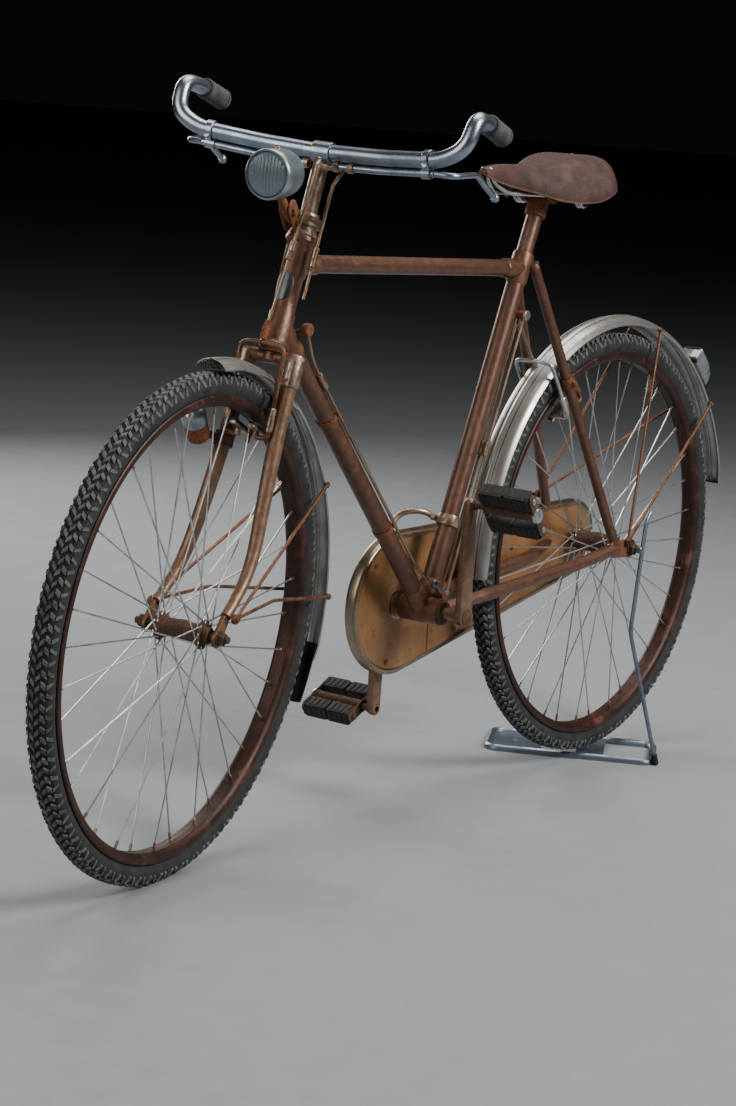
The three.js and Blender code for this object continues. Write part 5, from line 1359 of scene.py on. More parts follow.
def case_strap():
    """The strap from the seat tube down to the case."""
    piece = Piece("case_strap_bent")
    up = BB_RADIUS + CASE_FRONT_RADIUS + 8.5
    piece.turned(SEAT.at(up=up), SEAT.up, band(14.6, 17.4, 8, 0.4, 1), 32, 0, closed=True)
    start = SEAT.at(0, -19.3, up)
    line = [
        start,
        start + (FORWARD * 30 - SIDE * 9 + UPWARD * 16) * MM,
        BIKE.at(BB_X + 2, CASE_INNER_Y - 8, BB_Z + CASE_FRONT_RADIUS + 30),
        BIKE.at(BB_X + 24, CASE_INNER_Y - 11, BB_Z + CASE_FRONT_RADIUS - 1),
    ]
    piece.tube(line, 4.6, 16, bend=26)
    piece.nut(SEAT.at(14, -17, up), SEAT.way(0.6, -0.8, 0), 11, 5, 0)
    piece.done("frame", "worn", ["chain_case_strap"])


class ROADSTER_OT_chain_case(Operator):
    """Adds the chain case with its rolled rim and the strap that holds it"""

    bl_idname = "roadster.chain_case"
    bl_label = "Chain case"

    def execute(self, context):
        chain_case()
        case_strap()
        return {"FINISHED"}


def cranks():
    """Both cranks with their spindle, cotters and pedal pins."""
    piece = Piece("cranks_forged")
    piece.cylinder(CRANK.at(left=-86), CRANK.at(left=78), 8.4, 28, 0)
    for side, s in BOTH:
        inner = CRANK_INNER[side]
        arm = link_outline((0, 0), 15.4, (0, s * CRANK_LENGTH), 10.4, 20)
        piece.plate(arm, CRANK, *sorted((s * inner, s * (inner + CRANK_THICK))), 3.0, 0)
        face = CRANK.at(left=s * (inner + CRANK_THICK))
        piece.turned(face, SIDE * s, [(12, -1), (12, 1.4), (10.5, 2.2), (0.1, 2.6)], 32, 1)
        cotter = CRANK.at(-9, s * (inner + CRANK_THICK / 2), -14 * s)
        piece.cylinder(cotter - FORWARD * 4 * MM, cotter + FORWARD * 30 * MM, 4.4, 18, 1)
        piece.nut(cotter + FORWARD * 28 * MM, FORWARD, 12, 5, 1)
        pin = CRANK.at(0, s * inner, s * CRANK_LENGTH)
        piece.cylinder(pin, pin + SIDE * s * (184 - inner) * MM, 4.9, 20, 1)
        piece.nut(pin + SIDE * s * CRANK_THICK * MM, SIDE * s, 17, 4, 1)
    # The arms take the tube enamel made lighter, a painted highlight
    piece.done("crank", "blade iron", ["crankset"])


def pedal_piece(side, s):
    """A pedal: four grooved rubber blocks between two plates."""
    piece = Piece(f"pedal_blocks_{side}")
    tilt = Quaternion(SIDE, PEDAL_TILT[side])
    pedal = Bearings(pivot(f"pedal_{side}"), tilt @ FORWARD, SIDE * s, tilt @ UPWARD)
    barrel = [
        (5.6, 100), (9.4, 100), (10, 101), (8.6, 106), (8.6, 182), (10, 187), (10, 190), (9, 193),
        (0.1, 194),
    ]
    piece.turned(pedal.origin, pedal.left, barrel, 28, 1)
    piece.turned(pedal.origin, pedal.left, [(11.6, 189), (11.6, 191), (10.4, 193.4), (0.1, 193.9)], 32, 2)
    for y in (100, 189):
        piece.plate(link_outline((-29, 0), 8.8, (29, 0), 8.79, 12), pedal, y, y + 3, 0.8, 1)
    for fore in (-1, 1):
        middle = fore * PEDAL_BLOCK_AHEAD
        outer_face = fore * (PEDAL_BLOCK_AHEAD + PEDAL_BLOCK_HALF + 0.3)
        piece.cylinder(pedal.at(middle, 97, 0), pedal.at(middle, 100, 0), 4.4, 16, 1)
        piece.cylinder(pedal.at(middle, 192, 0), pedal.at(middle, 194, 0), 5, 6, 2)
        low_ahead, high_ahead = middle - PEDAL_BLOCK_HALF, middle + PEDAL_BLOCK_HALF
        for low in (102.4, 146):
            low_corner = (low_ahead, low, -PEDAL_BLOCK_HALF)
            piece.block(pedal, low_corner, (high_ahead, low + 42, PEDAL_BLOCK_HALF), 3, 0)
        for rib in range(9):
            y = 104.6 + rib * 9.6 + (1.6 if rib > 3 else 0)
            for face in (-12, 11):
                piece.block(pedal, (middle - 8.6, y, face), (middle + 8.6, y + 6, face + 1), 0.3, 0)
            piece.block(pedal, (outer_face - 0.5, y, -8), (outer_face + 0.5, y + 6, 8), 0.3, 0)
    piece.done(f"{side}_pedal", "black iron wire", [f"pedal_{side}"])


class ROADSTER_OT_cranks(Operator):
    """Adds the cranks with their cotters, and both pedals"""

    bl_idname = "roadster.cranks"
    bl_label = "Cranks and pedals"

    def execute(self, context):
        cranks()
        for side, s in BOTH:
            pedal_piece(side, s)
        return {"FINISHED"}


def bar_points(s):
    """One half of the bar, from its middle to the end of its grip."""
    rows = (
        # ahead, left, up from the bar's middle
        (2, 0, 0),
        (9, 0.41 * BAR_HALF, 1),
        (26, 0.85 * BAR_HALF, 4),
        (33, BAR_HALF + 1, 0.3 * BAR_RISE),
        (30, BAR_HALF + 5, 0.88 * BAR_RISE),
        (-8, BAR_HALF + 1, BAR_RISE - 2),
        (-70, BAR_HALF, BAR_RISE),
    )
    return [STEER.at(a, s * l, BAR_T + u) for a, l, u in rows]


def handlebar():
    """The swept bar, from grip to grip."""
    piece = Piece("handlebar_swept")
    line = bar_points(-1)[:0:-1] + bar_points(1)
    piece.tube(line, BAR_RADIUS, 28, bend=22, steps=8)
    piece.done("steering", "chrome", ["handlebar"])


def stem():
    """The stem with its clamp and binder bolt."""
    piece = Piece("stem_quill")
    piece.cylinder(STEER.at(up=HEAD_HIGH + 34.4), STEER.at(up=BAR_T - 6), 11.2, 32, 0)
    clamp = band(BAR_RADIUS + 0.3, BAR_RADIUS + 3.4, 14, 0.6, 0.8)
    piece.turned(STEER.at(2, 0, BAR_T), STEER.left, clamp, 36, 2, closed=True)
    lug = STEER.at(-15, 0, BAR_T - 3)
    piece.cylinder(lug + STEER.up * -7 * MM, lug + STEER.up * 8 * MM, 5.2, 20, 1)
    piece.nut(lug + STEER.up * 8 * MM, STEER.up, 12, 5, 1)
    piece.cylinder(STEER.at(up=BAR_T - 12), STEER.at(up=BAR_T - 6), 12.4, 32, 0)
    piece.done("steering", "worn iron chrome", ["stem"])


def hand_grip(side, s):
    """A ringed rubber grip."""
    start, end = bar_points(s)[5:]
    way = (end - start).normalized()
    length = (end - start).length / MM
    piece = Piece(f"grip_moulded_{side}")
    profile = [(BAR_RADIUS + 0.4, 12), (13.6, 12), (15, 13.5), (15, 17)]
    for ring in range(6):
        place = 19 + ring * 7.2
        profile += [(13.8, place), (14.6, place + 1.6), (14.6, place + 5), (13.8, place + 6.4)]
    profile += [
        (14.8, length - 1), (15, length + 3), (13.4, length + 6.5), (9, length + 8.4), (0.1, length + 9),
    ]
    piece.turned(start, way, profile, 32, 0)
    piece.done("steering", "grip", [f"grip_{side}"])


def brake_lever(side, s):
    """A brake lever: its pipe under the bar, its blade with a knob, and its clips."""
    piece = Piece(f"brake_lever_rod_{side}")
    pipe = STEER.line((-2, s * 24, BAR_T - 17), (3, s * 90, BAR_T - 16), (18, s * 180, BAR_T - 13))
    piece.tube(pipe, 4.8, 18, bend=20)
    lever = STEER.line(
        (18, s * 180, BAR_T - 13), (14, s * 206, BAR_T - 12), (-44, s * 212, BAR_T + 10),
        (-66, s * 214, BAR_T + 4), (-108, s * 216, BAR_T - 2),
    )
    piece.tube(lever, 4.2, 18, bend=18)
    piece.turned(
        lever[4], STEER.ahead, [(0.1, -6), (4, -5.2), (6.2, -2.4), (6.4, 0), (5.6, 3), (4.2, 5)], 24, 0,
    )
    bar = bar_points(s)
    middle = bar[1].lerp(bar[2], 0.8)
    along = (bar[2] - bar[1]).normalized()
    clip = band(BAR_RADIUS + 0.3, BAR_RADIUS + 3, 5, 0.6, 0.8)
    piece.turned(middle, along, clip, 32, 0, closed=True)
    hanger = pipe[1].lerp(pipe[2], 0.86)
    piece.turned(hanger, (pipe[2] - pipe[1]).normalized(), band(4.9, 7.4, 7), 24, 0, closed=True)
    screw = middle.lerp(hanger, 0.55) + STEER.ahead * 11 * MM
    piece.nut(screw, STEER.ahead, 9, 3.4, 1)
    for point in (pipe[0], pipe[0].lerp(pipe[1], 0.35)):
        piece.turned(point, (pipe[1] - pipe[0]).normalized(), band(5, 7.2, 4), 20, 1, closed=True)
    piece.done("steering", "chrome worn", [f"brake_lever_{side}"])


class ROADSTER_OT_handlebar(Operator):
    """Adds the stem, handlebar, grips and brake levers"""

    bl_idname = "roadster.handlebar"
    bl_label = "Handlebar"

    def execute(self, context):
        handlebar()
        stem()
        for side, s in BOTH:
            hand_grip(side, s)
            brake_lever(side, s)
        return {"FINISHED"}


# radius and bulge of the lens: its edge inside the rim, then a shallow dome
LENS_RINGS = ((29.6, -6), (29.6, -2)) + tuple(
    (27.2 - 1.36 * k, 2.5 - 2.4 * (1 - k / 20) ** 2) for k in range(20)
)
LAMP_BACK = STEER.at(78, 0, HEAD_HIGH + 68)
LAMP_WAY = FRONT.way(1, 0, -0.04)


def headlamp():
    """The headlamp's shell with its rim and the screw on top."""
    piece = Piece("headlamp_spun")
    shell = [
        (0.1, 0), (8, 0.5), (14, 1.6), (19.4, 4), (24, 7.2), (27.4, 11), (30, 16), (31.8, 22), (33, 30),
        (33, 50),
    ]
    shell += [(33.6, 51), (34, 53), (34, 62), (33, 64.6), (31, 66), (29.9, 64), (29.9, 58), (0.1, 44)]
    piece.turned(LAMP_BACK, LAMP_WAY, shell, 72, 0)
    screw = LAMP_BACK + LAMP_WAY * 40 * MM + UPWARD * 32.6 * MM
    piece.turned(screw, UPWARD, [(5.2, -3), (5.2, 1.4), (4, 3.4), (0.1, 4)], 24, 1)
    piece.done("steering", "lamp rod", ["headlamp_shell"])


def headlamp_lens():
    """The bulged lens, ribbed upright."""
    piece = Piece("headlamp_ribbed_lens")
    across = FRONT.left
    upright = LAMP_WAY.cross(across)
    rings = []
    for radius, bulge in LENS_RINGS:
        ring = []
        for k in range(128):
            t = 2 * math.pi * k / 128
            side, high = radius * math.cos(t), radius * math.sin(t)
            wave = 0.8 * math.cos(2 * math.pi * side / 5) if radius < 28 else 0
            ring.append(
                LAMP_BACK + (
                    LAMP_WAY * (LAMP_LENGTH + bulge + wave - 0.4) + across * side + upright * high
                ) * MM
            )
        rings.append(ring)
    piece.skin(rings, 0)
    piece.done("steering", "glass", ["headlamp_lens"], 60)


def lamp_bracket():
    """The lamp's arm and clevis, with the headset's nuts that hold them."""
    piece = Piece("lamp_bracket_rusty")
    nut = [(12.8, 0.4), (19.4, 0.4), (20.4, 1.4), (20.4, 5), (19, 6), (19, 9), (17, 10)]
    nut += [(17, 14), (20, 15), (20, 20), (17.4, 21), (17.4, 30), (16, 33.6), (12.8, 33.6)]
    piece.turned(STEER.at(up=HEAD_HIGH), STEER.up, nut, 36, 1, closed=True)
    piece.nut(STEER.at(up=HEAD_HIGH + 21), STEER.up, 41, 8, 1)
    arm = STEER.line(
        (16, -4, HEAD_HIGH + 13), (48, -4, HEAD_HIGH + 14), (94, -4, HEAD_HIGH + 39),
        (104, -4, HEAD_HIGH + 42),
    )
    piece.tube(arm, 5.4, 18, bend=14)
    for left in (-12, 2):
        clevis = link_outline((30, HEAD_HIGH + 10), 11, (54, HEAD_HIGH + 26), 10.9, 10)
        piece.plate(clevis, STEER, left, left + 2.6, 0.6, 0)
    piece.cylinder(STEER.at(50, -14.4, HEAD_HIGH + 22), STEER.at(50, 6, HEAD_HIGH + 22), 3.6, 18, 0)
    piece.nut(STEER.at(50, 4.4, HEAD_HIGH + 22), STEER.left, 13, 4.6, 0)
    piece.nut(STEER.at(34, 4.4, HEAD_HIGH + 12), STEER.left, 11, 4, 0)
    piece.done("steering", "rust worn", ["lamp_bracket"])


def bottle_dynamo():
    """The bottle dynamo with its roller and clip."""
    piece = Piece("bottle_dynamo")
    foot = STEER.at(30, -60, DYNAMO_CLIP_UP - 10)
    way = FRONT.way(0.62, 0.1, 0.78)
    body = [(0.1, 0), (8, 0.4), (12, 1.4), (15.4, 5), (16, 8), (16, 33)]
    piece.turned(foot, way, body + [(0.1, 33.2)], 40, 1)
    cap = [
        (0.1, 33), (16.6, 33), (17.5, 35), (17.5, 49), (16.4, 53), (13, 57), (7, 60), (5, 61), (5, 66),
        (0.1, 66),
    ]
    piece.turned(foot, way, cap, 40, 0)
    roller = [
        (0.1, 66), (8.4, 66), (9, 67), (8.6, 68), (9, 69.5), (8.6, 71), (9, 72.5), (8.6, 74), (8, 76.4),
        (0.1, 77),
    ]
    piece.turned(foot, way, roller, 28, 2)
    piece.tube(STEER.line((2, -BLADE_Y - 5, DYNAMO_CLIP_UP), (30, -61, DYNAMO_CLIP_UP)), 5.4, 18, paint=2)
    clip = band(11.4, 14, 10, 0.4, 1)
    piece.turned(STEER.at(0, -39.4, DYNAMO_CLIP_UP), STEER.up, clip, 32, 2, closed=True)
    piece.done("steering", "lamp rust iron", ["dynamo"])


def rear_lamp():
    """The rear lamp on its base."""
    piece = Piece("rear_lamp_housing")
    base = REAR.around(REAR_GUARD_RADIUS + 0.3, REAR_LAMP_DEGREES, 0, *REAR_SHIFT)
    out = REAR.outward(REAR_LAMP_DEGREES)
    along = Vector((-out.z, 0, out.x))
    lamp = Bearings(base, along, SIDE, out)
    corners = ((-30, 0.4), (30, 0.4), (38, 2), (34, 24), (14, 31.5), (-22, 31.5))
    middle = (4, 14)

    def outline(inset):
        return [
            (x - inset * math.copysign(1, x - middle[0]), z - inset * math.copysign(1, z - middle[1]))
            for x, z in corners
        ]

    piece.plate(outline, lamp, -19.8, 19.8, 3.2, 0)
    piece.block(lamp, (-33, -21, 0.4), (-22, 21, 5), 1, 1)
    piece.block(lamp, (-24, -14, 30.2), (12, 14, 32.4), 0.8, 1)
    for y in (-9, 9):
        piece.turned(lamp.at(-26, y, 5), out, [(3, -1), (3, 1.2), (0.1, 2)], 16, 1)
    piece.done("frame", "rear_glass black", ["rear_lamp"])


class ROADSTER_OT_lamps(Operator):
    """Adds the headlamp on its bracket, the bottle dynamo and the rear lamp"""

    bl_idname = "roadster.lamps"
    bl_label = "Lamps and dynamo"

    def execute(self, context):
        headlamp()
        headlamp_lens()
        lamp_bracket()
        bottle_dynamo()
        rear_lamp()
        return {"FINISHED"}


def brake_block(piece, wheel, degrees, s):
    """A rubber block in its steel shoe, under the rim."""
    out = wheel.outward(degrees)
    along = wheel.left.cross(out)
    middle = wheel.around(PAD_RADIUS, degrees, s * 14)
    shoe = Bearings(middle, along, wheel.left, out)
    piece.block(shoe, (-20, -4.6, -5.4), (20, 4.6, -0.4), 0.8, 2)
    piece.block(shoe, (-22, -5, -9), (22, 5, -5), 0.8, 1)
    piece.cylinder(shoe.at(up=-16), shoe.at(up=-8.6), 4.2, 16, 1)
    piece.nut(shoe.at(up=-18), out, 9, 3, 1)


def stirrup(piece, wheel, degrees, top, shoulders):
    """A bent horseshoe of rod: down each side of the tyre and in under the rim."""
    for (_, s), shoulder in zip(BOTH, shoulders):
        foot = wheel.around(PAD_RADIUS - 16, degrees, s * 15)
        ankle = wheel.around(PAD_RADIUS - 16, degrees, s * (GUARD_HALF + 7))
        piece.tube([top, shoulder, ankle, foot], 3.4, 16, bend=12, paint=0)
        up = (shoulder - ankle).normalized()
        piece.cylinder(ankle + up * 9 * MM, ankle + up * 42 * MM, 5, 20, 3, 1.4)
        brake_block(piece, wheel, degrees, s)


def front_stirrup():
    """The front brake's stirrup with its blocks."""
    piece = Piece("brake_stirrup_front")
    shoulders = [STEER.at(32, s * 34, CROWN_HIGH + 2) for _, s in BOTH]
    stirrup(piece, FRONT, FRONT_BRAKE_DEGREES, STEER.at(36, 0, CROWN_HIGH + 4), shoulders)
    piece.done("steering", "stay worn black worn", ["front_brake_stirrup"])


def front_rod():
    """The front brake's rod with its adjuster, from the lever to the stirrup."""
    piece = Piece("brake_rod_front")
    top, low = STEER.line((34, 16, BAR_T - 26), (36, 0, CROWN_HIGH + 8))
    piece.tube([top, low], BRAKE_ROD_RADIUS, 14)
    piece.nut(low.lerp(top, 0.45), (top - low).normalized(), 10, 12, 0)
    piece.cylinder(low.lerp(top, 0.5), low.lerp(top, 0.56), 4.6, 16, 0)
    piece.cylinder(low, low.lerp(top, 0.09), 5.2, 16, 1)
    piece.nut(low.lerp(top, 0.09), (top - low).normalized(), 10, 4, 1)
    piece.tube(
        STEER.line((34, 16, BAR_T - 28), (14, 20, BAR_T - 24), (4, 25, BAR_T - 19)), 3.8, 14, bend=8,
    )
    piece.done("steering", "rod rust", ["front_brake_rod"])


def swivel_rod():
    """The rear brake's rod by the head tube."""
    piece = Piece("brake_rod_swivel")
    top, knee, low = STEER.line((0, 36, BAR_T - 22.5), (9, 31, BAR_T - 46), (9, 30, 474))
    piece.tube([top, knee, low], BRAKE_ROD_RADIUS, 14, bend=6)
    piece.cylinder(knee.lerp(low, 0.55), knee.lerp(low, 0.72), 4.6, 16, 0)
    piece.nut(knee.lerp(low, 0.72), (low - knee).normalized(), 9.6, 5, 0)
    piece.done("steering", "rod", ["rear_brake_swivel_rod"])


def down_tube_rod():
    """The rear brake's rod along the down tube, with its bell crank and guides."""
    tube_line = Bearings(HEAD_FOR_DOWN, DOWN_WAY, SIDE, SIDE.cross(DOWN_WAY))
    piece = Piece("brake_rod_down_tube")
    start = tube_line.at(24, 24, 21)
    length = (CRANK.origin - HEAD_FOR_DOWN).length / MM
    line = tube_line.line((76, 16, 11), (length - 92, 16, 11), (length - 46, 23, 14.6))
    piece.tube([start, *line], BRAKE_ROD_RADIUS, 14, bend=20)
    piece.cylinder(start - SIDE * 5 * MM, start + SIDE * 5 * MM, 8.8, 24, 1)
    piece.tube([tube_line.at(24, 8, 14), start], 3.8, 14, paint=1)
    piece.cylinder(tube_line.at(100, 16, 11), tube_line.at(128, 16, 11), 4.2, 16, 0)
    for along in (180, 410):
        ring = band(MAIN_TUBE_RADIUS, MAIN_TUBE_RADIUS + 1.4, 4)
        piece.turned(tube_line.at(along), DOWN_WAY, ring, 32, 1, closed=True)
        piece.tube(tube_line.line((along, 8, 10), (along, 16, 11)), 3.8, 12, paint=1)
    piece.done("frame", "rod rust", ["down_tube_rod"])


def seat_tube_rods():
    """The two rods up the seat tube with the lower and upper bell cranks."""
    piece = Piece("brake_rods_seat_tube")
    for left in (10, 20):
        piece.tube(
            SEAT.line((-ROD_BEHIND, left, ROD_LOW), (-ROD_BEHIND, left, ROD_HIGH)), SEAT_ROD_RADIUS, 12
        )
        piece.cylinder(SEAT.at(-ROD_BEHIND, left, 250), SEAT.at(-ROD_BEHIND, left, 274), 4.2, 14, 0)
    ball = SEAT.at(24, 24, 36)
    crank = [*SEAT.line((-ROD_BEHIND, 6, ROD_LOW), (-ROD_BEHIND, 25, ROD_LOW), (0, 25, 26)), ball]
    piece.tube(crank, 3.9, 14, bend=6, paint=2)
    knob = [(0.1, 0), (4, 0.8), (6, 3), (6.4, 5.4), (6, 8), (4, 10), (0.1, 10.8)]
    piece.turned(ball - SIDE * 5.4 * MM, SIDE, knob, 24, 2)
    piece.cylinder(SEAT.at(0, 14, 26), SEAT.at(0, 30, 26), 6, 20, 1)
    piece.cylinder(*SEAT.line((-ROD_BEHIND, 4, ROD_HIGH), (-ROD_BEHIND, 22, ROD_HIGH)), 6.2, 24, 1)
    piece.cylinder(*SEAT.line((-ROD_BEHIND, 22, ROD_HIGH), (-ROD_BEHIND, 26, ROD_HIGH)), 7.8, 24, 3)
    link_end = REAR.around(REAR_STIRRUP_TOP + 4, REAR_STIRRUP_DEGREES)
    piece.tube([SEAT.at(-ROD_BEHIND, 6, ROD_HIGH), link_end], 2.8, 14)
    piece.done("frame", "rod rust zinc fitting", ["seat_tube_rods"])


def rear_stirrup():
    """The rear brake's stirrup with its blocks."""
    piece = Piece("brake_stirrup_rear")
    shoulders = [REAR.around(REAR_STIRRUP_TOP - 2, REAR_STIRRUP_DEGREES, s * 34) for _, s in BOTH]
    top = REAR.around(REAR_STIRRUP_TOP, REAR_STIRRUP_DEGREES)
    stirrup(piece, REAR, REAR_BRAKE_DEGREES, top, shoulders)
    piece.done("frame", "wire worn grip fitting", ["rear_brake_stirrup"])


class ROADSTER_OT_brakes(Operator):
    """Adds the rod brakes: rods, bell cranks, stirrups and blocks"""

    bl_idname = "roadster.brakes"
    bl_label = "Rod brakes"

    def execute(self, context):
        front_stirrup()
        front_rod()
        swivel_rod()
        down_tube_rod()
        seat_tube_rods()
        rear_stirrup()
        return {"FINISHED"}


SADDLE_ROWS = (
    # behind the nose, half width, top and skirt above the clamp, roundness
    (0, 5.5, 40, 34, 0.9),
    (3, 9, 43, 31, 0.9),
    (14, 13, 46, 26, 0.9),
    (55, 20, 50, 16, 0.85),
    (105, 33, 51, 7, 0.75),
    (155, 58, 54, -5, 0.65),
    (200, 85, 62, -3, 0.6),
    (236, 92, 67, 13, 0.6),
    (SADDLE_LENGTH - 8, 78, 63, 25, 0.6),
    (SADDLE_LENGTH, 62, 53, 33, 0.6),
)


def on_saddle(behind, left, up):
    """A place on the saddle; behind is counted from its nose."""
    return SADDLE.at(SADDLE_AHEAD - behind, left, up)


def saddle_top():
    """The leather top: an arched skin with a dip for the rider, a skirt and rivets."""
    piece = Piece("saddle_leather_top")
    rings = []
    for behind, half, top, skirt, roundness in smooth_rows(SADDLE_ROWS, 6):
        ring = []
        for inset in (0, 4.5):
            arch = []
            for i in range(33):
                t = math.pi * i / 32
                w, h = math.cos(t), math.sin(t)
                y = (half - inset) * math.copysign(abs(w) ** (roundness * 0.7), w)
                z = skirt + (top - inset - skirt) * h ** (2 - roundness)
                dip = 3.0 * math.exp(-((y / 26) ** 2)) * math.exp(-(((behind - 138) / 80) ** 2))
                arch.append(on_saddle(behind, y, z - dip))
            ring += arch if inset == 0 else arch[::-1]
        rings.append(ring)
    numbers = [1 if i in (0, 31) or i >= 32 else 0 for i in range(66)]
    piece.skin(rings, numbers)
    for behind, left, up in (
        (248, 0, 66.4), (246, 24, 64.8), (246, -24, 64.8), (242, 46, 61), (242, -46, 61), (11, 5, 44.4),
        (11, -5, 44.4),
    ):
        way = BIKE.way(-0.2 if behind > 100 else 0.3, 0, 1)
        piece.turned(
            on_saddle(behind, left, up - 1.6), way, [(4.6, -1), (4.6, 0.2), (3, 1.3), (0.1, 1.8)], 20, 2,
        )
    piece.done("frame", "hide hide_edge chrome", ["saddle_top"], 60)


def saddle_frame():
    """The clamp, the rails with their coil springs, and the rear loop."""
    piece = Piece("saddle_wire_frame")
    piece.cylinder(SEAT.at(up=SEAT_POST_TOP - 24), SEAT.at(up=SEAT_POST_TOP + 16), 16.4, 32, 1)
    piece.cylinder(SADDLE.at(0, -30, 4), SADDLE.at(0, 30, 4), 7, 24, 1)
    for s in (1, -1):
        piece.nut(SADDLE.at(0, s * 30, 4), SIDE * s, 18, 6, 1)
        piece.cylinder(SADDLE.at(0, s * 20, 4), SADDLE.at(0, s * 28, 4), 13, 28, 1)
        rail = (
            (16, 3, 40), (26, 5, 22), (52, 12, 6), (133, 24, 4), (185, 26, 3), (203, 48, 2), (226, 56, 4),
            (244, 60, 43),
        )
        piece.tube([on_saddle(behind, s * left, up) for behind, left, up in rail], 3.1, 14, bend=14)
        coil = []
        for i in range(97):
            t = 2 * math.pi * i / 48
            coil.append(on_saddle(196 - 13 * math.cos(t), s * (46.4 + i * 0.145), 2 + 13 * math.sin(t)))
        piece.tube(coil, 2.9, 12)
    piece.tube(
        [on_saddle(244, -62, 43), on_saddle(250, 0, 56.1), on_saddle(244, 62, 43)], 3.2, 14, bend=6
    )
    piece.done("frame", "wire rust", ["saddle_frame"])


class ROADSTER_OT_saddle(Operator):
    """Adds the leather saddle on its sprung wire frame"""

    bl_idname = "roadster.saddle"
    bl_label = "Saddle"

    def execute(self, context):
        saddle_top()
        saddle_frame()
        return {"FINISHED"}


def ring_lock():
    """The lock's clip, arch and key barrel."""
    piece = Piece("ring_lock_clip")
    top, low = seat_stay_line(1)
    way = (low - top).normalized()
    middle = top.lerp(low, 0.41)
    back = BIKE.way(-1, 0, -0.45)
    piece.turned(middle, way, band(8.5, 11.2, 10, 0.4, 1), 32, 0, closed=True)
    ring = [middle + way * a * MM + back * b * MM for a, b in ((-34, 13), (-20, 33), (14, 38), (30, 16))]
    piece.tube(ring, 3.5, 16, bend=18)
    piece.tube([middle + back * 9 * MM, middle + back * 36 * MM], 4.8, 18)
    piece.nut(middle + SIDE * 10 * MM, SIDE, 11, 4, 0)
    piece.done("frame", "stay", ["ring_lock"])


class ROADSTER_OT_ring_lock(Operator):
    """Adds the ring lock on the left seat stay"""

    bl_idname = "roadster.ring_lock"
    bl_label = "Ring lock"

    def execute(self, context):
        ring_lock()
        return {"FINISHED"}


def stand_tray():
    """The pressed tray: a raised rim, two cross plates and two rivets."""
    piece = Piece("stand_tray")
    rows = (
        (0, 0.1), (0.1, 4.5), (1.2, 7.2), (3.2, 8.8), (5.6, STAND_HEIGHT), (8.4, 8.8), (10.8, 7),
        (12.6, 4.4), (13.6, 2), (STAND_RIM, 0.1),
    )
    loops = []
    for inset, z in rows:
        loop = rounded_rectangle(STAND_LENGTH - 2 * inset, STAND_WIDTH - 2 * inset, 24 - inset * 0.86)
        loops.append([STAND.at(x, y, z) for x, y in loop])
    piece.skin(loops, 0, closed=True)
    reach = STAND_WIDTH / 2 - 10
    flat = Bearings(STAND.origin, STAND.ahead, STAND.left, STAND.up)
    piece.block(flat, (-STAND_LENGTH / 2 + 10, -reach, 2), (-50, reach, 5), 0.8, 0)
    piece.block(flat, (10, -reach, 2), (56, reach, 5), 0.8, 0)
    for x in (-92, 33):
        piece.turned(STAND.at(x, 0, 5), STAND.up, [(5, -1), (5, 0.6), (3.4, 1.4), (0.1, 1.6)], 20, 0)
    piece.done("frame", "zinc", ["stand_base"])


def stand_rod():
    """The bent rod from the tray up to the cup over the axle's end."""
    piece = Piece("stand_rod_bent")
    foot = STAND.at(STAND_LENGTH / 2 + 1, 10 - STAND_WIDTH / 2, 4)
    line = [foot, BIKE.at(30, 96, 216), BIKE.at(-12, 86, 396), BIKE.at(-22, 86, 408)]
    piece.tube(line, 3.5, 18, bend=14)
    way = (line[1] - foot).normalized()
    piece.cylinder(REAR.at(left=80.4), REAR.at(left=89), 6, 24, 0)
    piece.cylinder(foot - way * 2 * MM, foot + way * 16 * MM, 5.2, 24, 1)
    piece.done("frame", "zinc black", ["stand_rod"])


class ROADSTER_OT_stand(Operator):
    """Adds the floor stand: its tray and the bent rod up to the axle"""

    bl_idname = "roadster.stand"
    bl_label = "Floor stand"

    def execute(self, context):
        stand_tray()
        stand_rod()
        return {"FINISHED"}


def studio_floor(scene):
    """A plain floor, wide enough to meet the dark."""
    mesh = bmesh.new()
    bmesh.ops.create_grid(mesh, x_segments=2, y_segments=2, size=FLOOR_HALF)
    data = bpy.data.meshes.new("studio_floor")
    mesh.to_mesh(data)
    mesh.free()
    data.materials.append(paints["plaster"])
    floor = bpy.data.objects.new("studio_floor", data)
    scene.collection.objects.link(floor)


def studio_air(scene):
    """The dark behind everything."""
    world = bpy.data.worlds.new("studio_air")
    world.use_nodes = True
    world.node_tree.nodes["Background"].inputs["Color"].default_value = STUDIO_DARK
    world.node_tree.nodes["Background"].inputs["Strength"].default_value = 1.0
    scene.world = world


def studio_lights(scene, colour):
    """Four soft lights, placed as seen from the camera."""
    across, _, back, _ = camera_axes()
    aim = BIKE.at(*BICYCLE_MIDDLE)
    lights = (
        # name, to the camera's right, up, towards the camera, size, watts
        ("key", 3.0, 2.4, 1.4, 1.6, 210),
        ("fill", -2.6, 1.6, 2.6, 2.6, 75),
        ("top", 0.4, 3.4, -0.8, 2.4, 110),
        ("rear", -1.6, 1.3, -3.0, 1.6, 70),
    )
    flat_back = Vector((back.x, back.y, 0)).normalized()
    flat_right = Vector((across.x, across.y, 0)).normalized()
    for name, right, up, near, size, watts in lights:
        lamp = bpy.data.lights.new(f"studio_{name}", "AREA")
        lamp.size = size
        lamp.energy = watts
        lamp.color = colour
        spot = bpy.data.objects.new(f"studio_{name}", lamp)
        spot.location = aim + flat_right * right + flat_back * near + Vector((0, 0, up))
        spot.rotation_euler = (aim - spot.location).to_track_quat("-Z", "Y").to_euler()
        scene.collection.objects.link(spot)


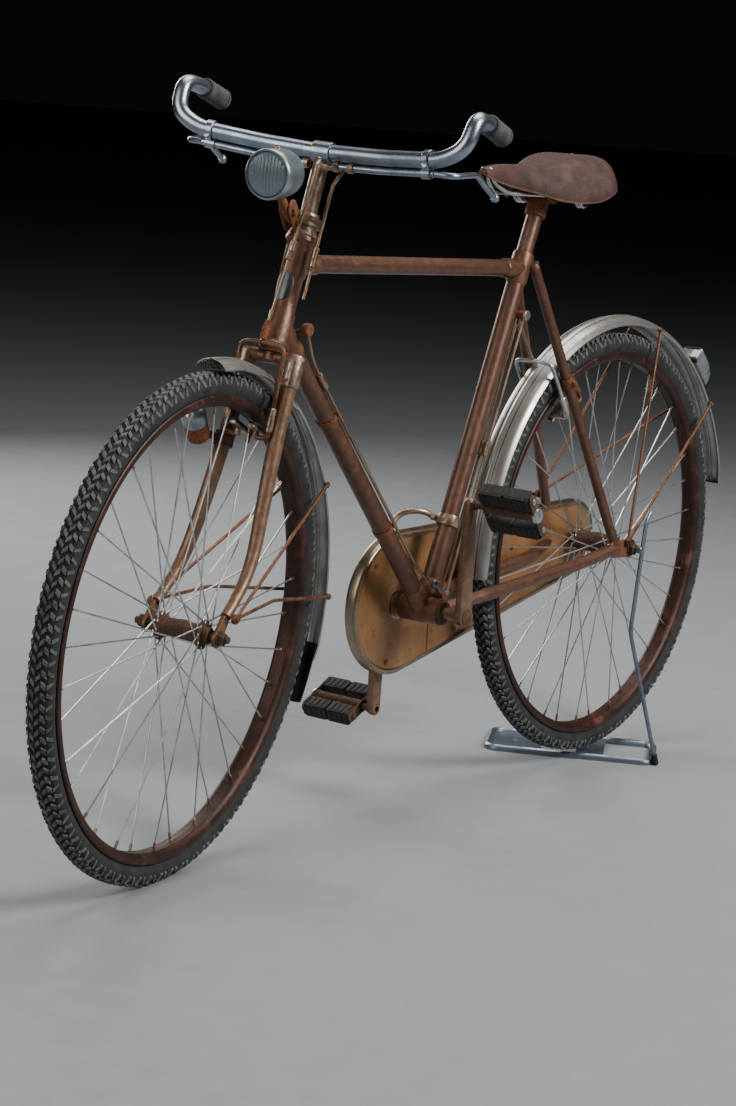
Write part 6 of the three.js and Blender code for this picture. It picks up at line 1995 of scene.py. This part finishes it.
def photo_camera(scene):
    """The photograph's camera."""
    across, upright, back, place = camera_axes()
    camera = bpy.data.cameras.new("photo_view")
    camera.sensor_fit = "VERTICAL"
    camera.sensor_height = SENSOR_HEIGHT
    camera.lens = FOCAL_PIXELS / PICTURE_HEIGHT * SENSOR_HEIGHT
    eye = bpy.data.objects.new("photo_view", camera)
    turn = Matrix((across, upright, back)).transposed().to_4x4()
    eye.matrix_world = Matrix.Translation(place) @ turn
    scene.collection.objects.link(eye)
    scene.camera = eye


class ROADSTER_OT_stage(Operator):
    """Adds the floor, the lights and the photograph's camera"""

    bl_idname = "roadster.stage"
    bl_label = "Stage"

    def execute(self, context):
        scene = context.scene
        studio_floor(scene)
        studio_air(scene)
        studio_lights(scene, scene.roadster_colours.light)
        photo_camera(scene)
        return {"FINISHED"}


def camera_axes():
    """The camera's right, up and back directions and its place, from the fit in the bicycle's own axes."""
    cp, sp = math.cos(CAMERA_PITCH), math.sin(CAMERA_PITCH)
    look = Vector((math.sin(CAMERA_YAW) * cp, -math.cos(CAMERA_YAW) * cp, -sp))
    right = look.cross(Vector((0, 0, 1))).normalized()
    up = right.cross(look)
    c, s = math.cos(CAMERA_ROLL), math.sin(CAMERA_ROLL)
    right, up = right * c + up * s, up * c - right * s
    turned = [FORWARD * v.x + SIDE * v.y + UPWARD * v.z for v in (right, up, -look)]
    x, y, z = CAMERA_PLACE
    return *turned, REAR.origin + FORWARD * x + SIDE * y + UPWARD * z


STEPS = (
    ROADSTER_OT_wheels, ROADSTER_OT_frame_tubes, ROADSTER_OT_stays, ROADSTER_OT_fork,
    ROADSTER_OT_mudguards, ROADSTER_OT_chain_case, ROADSTER_OT_cranks, ROADSTER_OT_handlebar,
    ROADSTER_OT_lamps, ROADSTER_OT_brakes, ROADSTER_OT_saddle, ROADSTER_OT_ring_lock, ROADSTER_OT_stand,
    ROADSTER_OT_stage,
)


class ROADSTER_PT_panel(Panel):
    """Lists the pieces of the bicycle"""

    bl_idname = "ROADSTER_PT_panel"
    bl_label = "Rusty roadster"
    bl_space_type = "VIEW_3D"
    bl_region_type = "UI"
    bl_category = "Roadster"

    def draw(self, context):
        for group in (context.scene.roadster_sizes, context.scene.roadster_colours):
            for name in group.bl_rna.properties.keys():
                if name not in ("rna_type", "name"):
                    self.layout.prop(group, name)
        for step in STEPS:
            self.layout.operator(step.bl_idname)


CLASSES = (RoadsterSizes, RoadsterColours, *STEPS, ROADSTER_PT_panel)


def register():
    for cls in CLASSES:
        bpy.utils.register_class(cls)
    bpy.types.Scene.roadster_sizes = PointerProperty(type=RoadsterSizes)
    bpy.types.Scene.roadster_colours = PointerProperty(type=RoadsterColours)


def unregister():
    del bpy.types.Scene.roadster_colours
    del bpy.types.Scene.roadster_sizes
    for cls in reversed(CLASSES):
        bpy.utils.unregister_class(cls)


def main():
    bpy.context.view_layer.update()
    register()
    make_paints(bpy.context.scene.roadster_colours)
    for step in STEPS:
        group, name = step.bl_idname.split(".")
        getattr(getattr(bpy.ops, group), name)()


if __name__ == "__main__":
    main()
